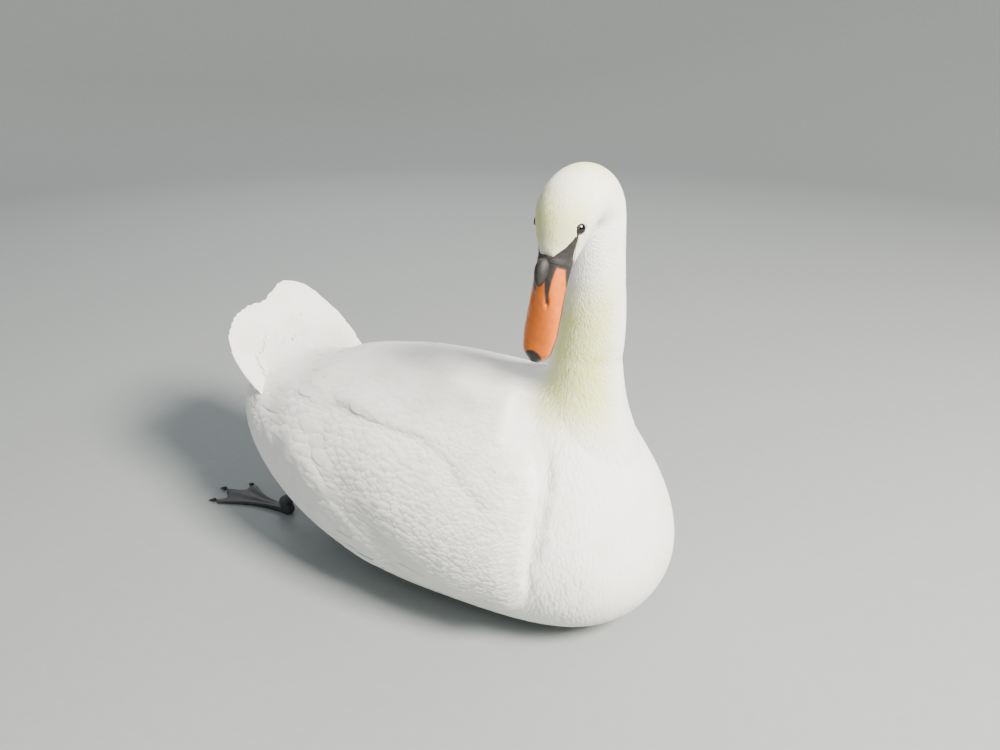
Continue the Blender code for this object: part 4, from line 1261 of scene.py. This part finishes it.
def horn_material():
    """Orange horn that turns black where the sheath's own value says so."""
    made, tree, shader = start_material("bill_horn_keratin")
    here = node(tree, "TexCoord", out="Object")
    black = node(tree, "Attribute", out="Fac", attribute_name="black")
    mottle = node(tree, "TexNoise", {"Vector": here, "Scale": MOTTLE_SCALE, "Detail": 5})
    pores = node(tree, "TexNoise", {"Vector": here, "Scale": PORE_SCALE, "Detail": 3})
    warm = node(tree, "Mix", {0: mottle, 6: linear("#c25602"), 7: linear("#e0760c")}, **COLOURS)
    dark = node(tree, "Mix", {0: mottle, 6: linear("#161514"), 7: linear("#34312f")}, **COLOURS)
    set_sockets(shader, {
        "IOR": 1.54, "Coat Weight": 0.15, "Coat Roughness": 0.25,
        "Roughness": node(tree, "MapRange", {"Value": mottle, "To Min": 0.30, "To Max": 0.50}),
        "Base Color": node(tree, "Mix", {0: black, 6: warm, 7: dark}, **COLOURS),
        "Normal": node(tree, "Bump", {"Strength": 0.35, "Distance": 0.0002, "Height": pores}),
    })
    return made


def bare_skin_material(name, dark, pale, grain, roughness):
    """Leathery skin with fine wrinkles, a grain given in metres."""
    made, tree, shader = start_material(name)
    here = node(tree, "TexCoord", out="Object")
    cells = node(tree, "TexVoronoi", {"Vector": here, "Scale": 1 / grain}, feature="DISTANCE_TO_EDGE")
    cloud = node(tree, "TexNoise", {"Vector": here, "Scale": CLOUD_SHARE / grain, "Detail": 4})
    furrow = node(tree, "MapRange", {"Value": cells, "From Max": 0.18})
    set_sockets(shader, {
        "Roughness": roughness, "IOR": 1.45,
        "Base Color": node(tree, "Mix", {0: cloud, 6: linear(dark), 7: linear(pale)}, **COLOURS),
        "Normal": node(tree, "Bump", {"Strength": 0.55, "Distance": 0.12 * grain, "Height": furrow}),
    })
    return made


bill_horn = horn_material()
face_skin = bare_skin_material("black_face_skin", "#191817", "#3a3735", 0.0011, 0.52)
leg_skin = bare_skin_material("scaled_leg_skin", "#1d1e20", "#46474a", 0.0024, 0.50)
claw_horn = bare_skin_material("claw_horn", "#1a1715", "#37322e", 0.0030, 0.32)
finish_piece(bill_upper, bill_horn, ["bill_base", "bill_upper", "bill_nail"])
finish_piece(bill_lower, face_skin, ["bill_lower"])

# %% [markdown]
# ## The knob
# The knob is a soft lump on the root of the bill, small on this bird: a ball stretched along the bill, and
# thinner towards its front.
# %% Knob
KNOB_RADII = (0.0138, 0.0066, 0.0080)  # along, across and out of the bill
KNOB_SHIFT = 0.0065  # from the solid's middle down the bill
KNOB_TAPER = 0.22


def make_knob():
    shape = bmesh.new()
    bmesh.ops.create_uvsphere(shape, u_segments=36, v_segments=24, radius=1.0)
    middle = np.mean(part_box("bill_knob"), axis=0) + KNOB_SHIFT * HEAD_AHEAD
    for vertex in shape.verts:
        along, across, out = vertex.co
        taper = 1 - KNOB_TAPER * along
        place = middle + KNOB_RADII[0] * along * HEAD_AHEAD
        vertex.co = place + KNOB_RADII[1] * across * taper * HEAD_LEFT + KNOB_RADII[2] * out * taper * HEAD_UP
    finish_piece(as_object("bill_knob_skin", shape), face_skin, ["bill_knob"])


make_knob()

# %% [markdown]
# ## The bare face
# From the knob the bare skin runs back as a narrowing black triangle to the eye. It is draped: a grid's
# points are thrown outwards from the head's middle line onto the skin, or onto the bill where that stands
# farther out, and the step between the two is rounded over. Then the sheet gets a thin wall.
# %% Black skin before the eyes
LORE_FRONT = 0.004  # metres past the bill's start
LORE_GRID = (40, 24)  # points along and across
LORE_LIFT = 0.0008
LORE_WALL = 0.0006
RAY_REACH = 0.06
STEP_ROUNDED = 0.0016  # metres over which the step from skin to bill is rounded
bill_shape = bmesh.new()
bill_shape.from_mesh(bill_upper.data)
bill_shape.from_mesh(bill_lower.data)
bill_tree = BVHTree.FromBMesh(bill_shape)
bill_shape.free()


def walled(thing, thickness):
    """The piece that a sheet becomes when it gets a wall."""
    wall = thing.modifiers.new("wall", "SOLIDIFY")
    wall.thickness = thickness
    wall.offset = -1
    return link(bpy.data.objects.new(thing.name, applied(thing)))


def thrown(ahead, angle, side, lift):
    """A point thrown from the head's middle line onto the skin, raised by lift; side is 1 on the left."""
    start = Vector(from_head(ahead, 0.0, HEAD_MIDDLE))
    way = Vector(math.cos(angle) * side * HEAD_LEFT + math.sin(angle) * HEAD_UP)
    skin_reach, bill_reach = (tree.ray_cast(start, way, RAY_REACH)[3] or 0.0 for tree in (skin_tree, bill_tree))
    reach = (skin_reach + bill_reach + math.hypot(skin_reach - bill_reach, STEP_ROUNDED)) / 2
    if min(skin_reach, bill_reach) == 0:
        reach = max(skin_reach, bill_reach)
    return start + (reach + lift) * way


def make_lore(name, side):
    """The sheet of bare skin before one eye, highest along its middle."""
    shape = bmesh.new()
    bmesh.ops.create_grid(shape, x_segments=LORE_GRID[0] - 1, y_segments=LORE_GRID[1] - 1, size=0.5)
    for vertex in shape.verts:
        along, across = vertex.co.x + 0.5, vertex.co.y + 0.5
        swell = math.sin(math.pi * min(max(across, 0), 1)) ** 0.5
        raised = LORE_LIFT * (0.25 + 0.75 * swell) * (1 - 0.9 * along**4)
        low, high = lore_band(along)
        ahead = LORE_START * (1 - along) + LORE_FRONT * along
        vertex.co = thrown(ahead, math.radians(low + (high - low) * across), side, raised)
    bmesh.ops.recalc_face_normals(shape, faces=shape.faces)
    thing = as_object(name, shape)
    face = thing.data.polygons[0]
    if face.normal.dot(face.center - Vector(from_head(-0.01, 0, HEAD_MIDDLE))) < 0:
        thing.data.flip_normals()
    return walled(thing, LORE_WALL)


print("bill's surface for the rays:", len(bill_upper.data.polygons) + len(bill_lower.data.polygons), "faces")

# %% [markdown]
# ## The eyes
# The eye is a ball of which lids show only an almond, dark brown and wet, so it takes one sharp highlight.
# Iris and pupil are told apart by the distance from the eye's axis, kept as a value at the ball's points.
# Upper and lower lid are one ring, from the almond's edge out to the skin round the eye.
# %% Lids and eyes
EYE_RADIUS = 0.0063
LID_OPENING = (0.0034, 0.0026)  # half the almond's length and height
LID_REACH = 0.0055
LID_POINTS = 48
LID_WALL = 0.0004
LID_RINGS = (  # share from the almond's edge out to the skin, metres over the eyeball
    (1.0, -0.0012), (0.6, 0.0002), (0.35, 0.0007), (0.15, 0.0008), (0.0, 0.0003), (-0.05, -0.0010),
)


def eye_material():
    """A wet cornea over a dark brown iris and a black pupil."""
    made, tree, shader = start_material("wet_dark_eye")
    rim = node(tree, "Attribute", out="Fac", attribute_name="off_axis")
    ramp = node(tree, "MapRange", {"Value": rim, "From Min": 0.30, "From Max": 0.42})
    set_sockets(shader, {
        "Roughness": 0.06, "IOR": 1.38, "Coat Weight": 1.0, "Coat Roughness": 0.02,
        "Base Color": node(tree, "Mix", {0: ramp, 6: linear("#040404"), 7: linear("#24140c")}, **COLOURS),
    })
    return made


def eye_axis(middle):
    """The way an eye looks, from the head's middle line outwards."""
    return unit(middle - from_head(HEAD_AHEAD @ (middle - HEAD_START), 0.0, 0.0))


def make_lids(side, middle):
    outward = eye_axis(middle)
    ahead = unit(HEAD_AHEAD - (HEAD_AHEAD @ outward) * outward)
    above = np.cross(outward, ahead)
    above = above if above @ HEAD_UP > 0 else -above
    rings = []
    turn = np.linspace(0, 2 * math.pi, LID_POINTS, endpoint=False)
    pointed = 1 + 0.16 * np.abs(np.cos(turn)) ** 6
    for share, rise in LID_RINGS:
        x = np.cos(turn) * (LID_OPENING[0] * pointed * (1 - share) + LID_REACH * share)
        y = np.sin(turn) * (LID_OPENING[1] * (1 - share) + LID_REACH * share)
        out = np.sqrt(np.maximum(EYE_RADIUS**2 - x**2 - y**2, 0)) + rise
        rings.append(middle + x[:, None] * ahead + y[:, None] * above + out[:, None] * outward)
    lids = walled(bridged(f"eyelids_{side}", rings, closed=False), LID_WALL)
    finish_piece(lids, face_skin)


wet_eye = eye_material()


def make_eye(side, middle):
    shape = bmesh.new()
    bmesh.ops.create_uvsphere(shape, u_segments=40, v_segments=24, radius=EYE_RADIUS)
    outward = eye_axis(middle)
    turn = Vector((0, 0, 1)).rotation_difference(Vector(outward)).to_matrix()
    bmesh.ops.rotate(shape, verts=shape.verts, matrix=turn, cent=(0, 0, 0))
    bmesh.ops.translate(shape, verts=shape.verts, vec=Vector(middle))
    ball = as_object(f"eyeball_{side}", shape)
    from_middle = read(ball.data.vertices, "co", 3) - middle
    store_value(ball.data, "off_axis", 1 - from_middle @ outward / EYE_RADIUS)
    finish_piece(ball, wet_eye, [f"eye_{side}"])


for side, sign in (("left", 1), ("right", -1)):
    finish_piece(make_lore(f"lore_skin_{side}", sign), face_skin, [f"lore_{side}"])
    make_lids(side, eye_middle[side])
    make_eye(side, eye_middle[side])

# %% [markdown]
# ## Legs and feet
# A resting swan lets its feet trail behind it. They are black and leathery, with scutes on the toes and a
# fine net of scales on the webs. Their solids have the right form already, so copies of foot and shank are
# subdivided, filled out at the ankle by a few balls, joined and remeshed, and smoothed to lose their facets.
# %% Legs, feet and claws
LEG_VOXEL = 0.0010
LEG_ROUNDS = 16
ANKLE_RADII = (0.0074, 0.0078, 0.0082, 0.0084, 0.0080)  # from the heel up into the shank
HEEL_DEPTH = 0.004  # metres of the foot that count as its heel
SHANK_END = 0.008  # metres of the shank that count as one of its ends


def ankle_line(side):
    """The middle of the heel and of the shank's lower end."""
    foot, shank = node_points(f"foot_{side}"), node_points(f"tarsus_{side}")
    heel = foot[foot[:, 1] < foot[:, 1].min() + HEEL_DEPTH].mean(0)
    top = shank[shank[:, 2] > shank[:, 2].max() - SHANK_END].mean(0)
    low = shank[shank[:, 2] < 0.022].mean(0)
    reach = (shank - top) @ unit(low - top)
    return heel, shank[reach > reach.max() - SHANK_END].mean(0)


def make_leg(side):
    """Foot and shank as one skin."""
    both = bmesh.new()
    for part in ("foot", "tarsus"):
        both.from_mesh(smooth_copy(f"{part}_{side}"))
    heel, end = ankle_line(side)
    for share, radius in zip(np.linspace(0, 1, len(ANKLE_RADII)), ANKLE_RADII):
        ball = bmesh.ops.create_icosphere(both, subdivisions=3, radius=radius)["verts"]
        bmesh.ops.translate(both, verts=ball, vec=Vector(heel + share * (end - heel)))
    thing = as_object("leg", both)
    joined = thing.modifiers.new("joined", "REMESH")
    joined.mode = "VOXEL"
    joined.voxel_size = LEG_VOXEL
    even = thing.modifiers.new("even", "SMOOTH")
    even.iterations = LEG_ROUNDS
    leg = link(bpy.data.objects.new(f"leg_skin_{side}", applied(thing)))
    finish_piece(leg, leg_skin, [f"foot_{side}", f"tarsus_{side}"])


for side in ("left", "right"):
    make_leg(side)
    for toe in ("inner", "middle", "outer"):
        claw = link(bpy.data.objects.new(f"claw_horn_{side}_{toe}", smooth_copy(f"claw_{side}_{toe}")))
        finish_piece(claw, claw_horn, [f"claw_{side}_{toe}"])

# %% [markdown]
# ## The floor
# A plain pale floor that turns up into a wall far behind, with no shine of its own. It is a shade darker than
# the plumage, or the edge of a white bird is lost.
# %% Floor
FLOOR_REACH = 2.6
WALL_RADIUS = 1.4  # of the curve between floor and wall
WALL_HEIGHT = 3.0
CURVE_STEPS = 12
SPIN_STEPS = 64
PAPER_SCALE = 60  # faint clouds to a metre: each about 17 millimetres wide


def make_floor():
    """A round sweep: a line out along the floor, up a quarter circle and up the wall, spun once round."""
    shape = bmesh.new()
    outline = [(0.0, 0.0), (FLOOR_REACH / 2, 0.0), (FLOOR_REACH, 0.0)]
    for step in range(1, CURVE_STEPS + 1):
        turn = math.radians(90 * step / CURVE_STEPS)
        outline.append((FLOOR_REACH + WALL_RADIUS * math.sin(turn), WALL_RADIUS * (1 - math.cos(turn))))
    outline.append((FLOOR_REACH + WALL_RADIUS, WALL_HEIGHT))
    points = [shape.verts.new((out, 0.0, up)) for out, up in outline]
    edges = [shape.edges.new(pair) for pair in zip(points, points[1:])]
    bmesh.ops.spin(shape, geom=points + edges, axis=(0, 0, 1), cent=(0, 0, 0), angle=2 * math.pi,
                   steps=SPIN_STEPS, use_merge=True)
    bmesh.ops.remove_doubles(shape, verts=shape.verts, dist=1e-5)
    bmesh.ops.recalc_face_normals(shape, faces=shape.faces)
    floor = as_object("floor", shape)
    made, tree, shader = start_material("matt_studio_paper")
    here = node(tree, "TexCoord", out="Object")
    clouds = node(tree, "TexNoise", {"Vector": here, "Scale": PAPER_SCALE, "Detail": 4})
    set_sockets(shader, {
        "Roughness": 0.95, "Specular IOR Level": 0.1,
        "Base Color": node(tree, "Mix", {0: clouds, 6: linear("#8d9292"), 7: linear("#949999")}, **COLOURS),
    })
    floor.data.shade_smooth()
    floor.data.materials.append(made)
    return floor


make_floor()
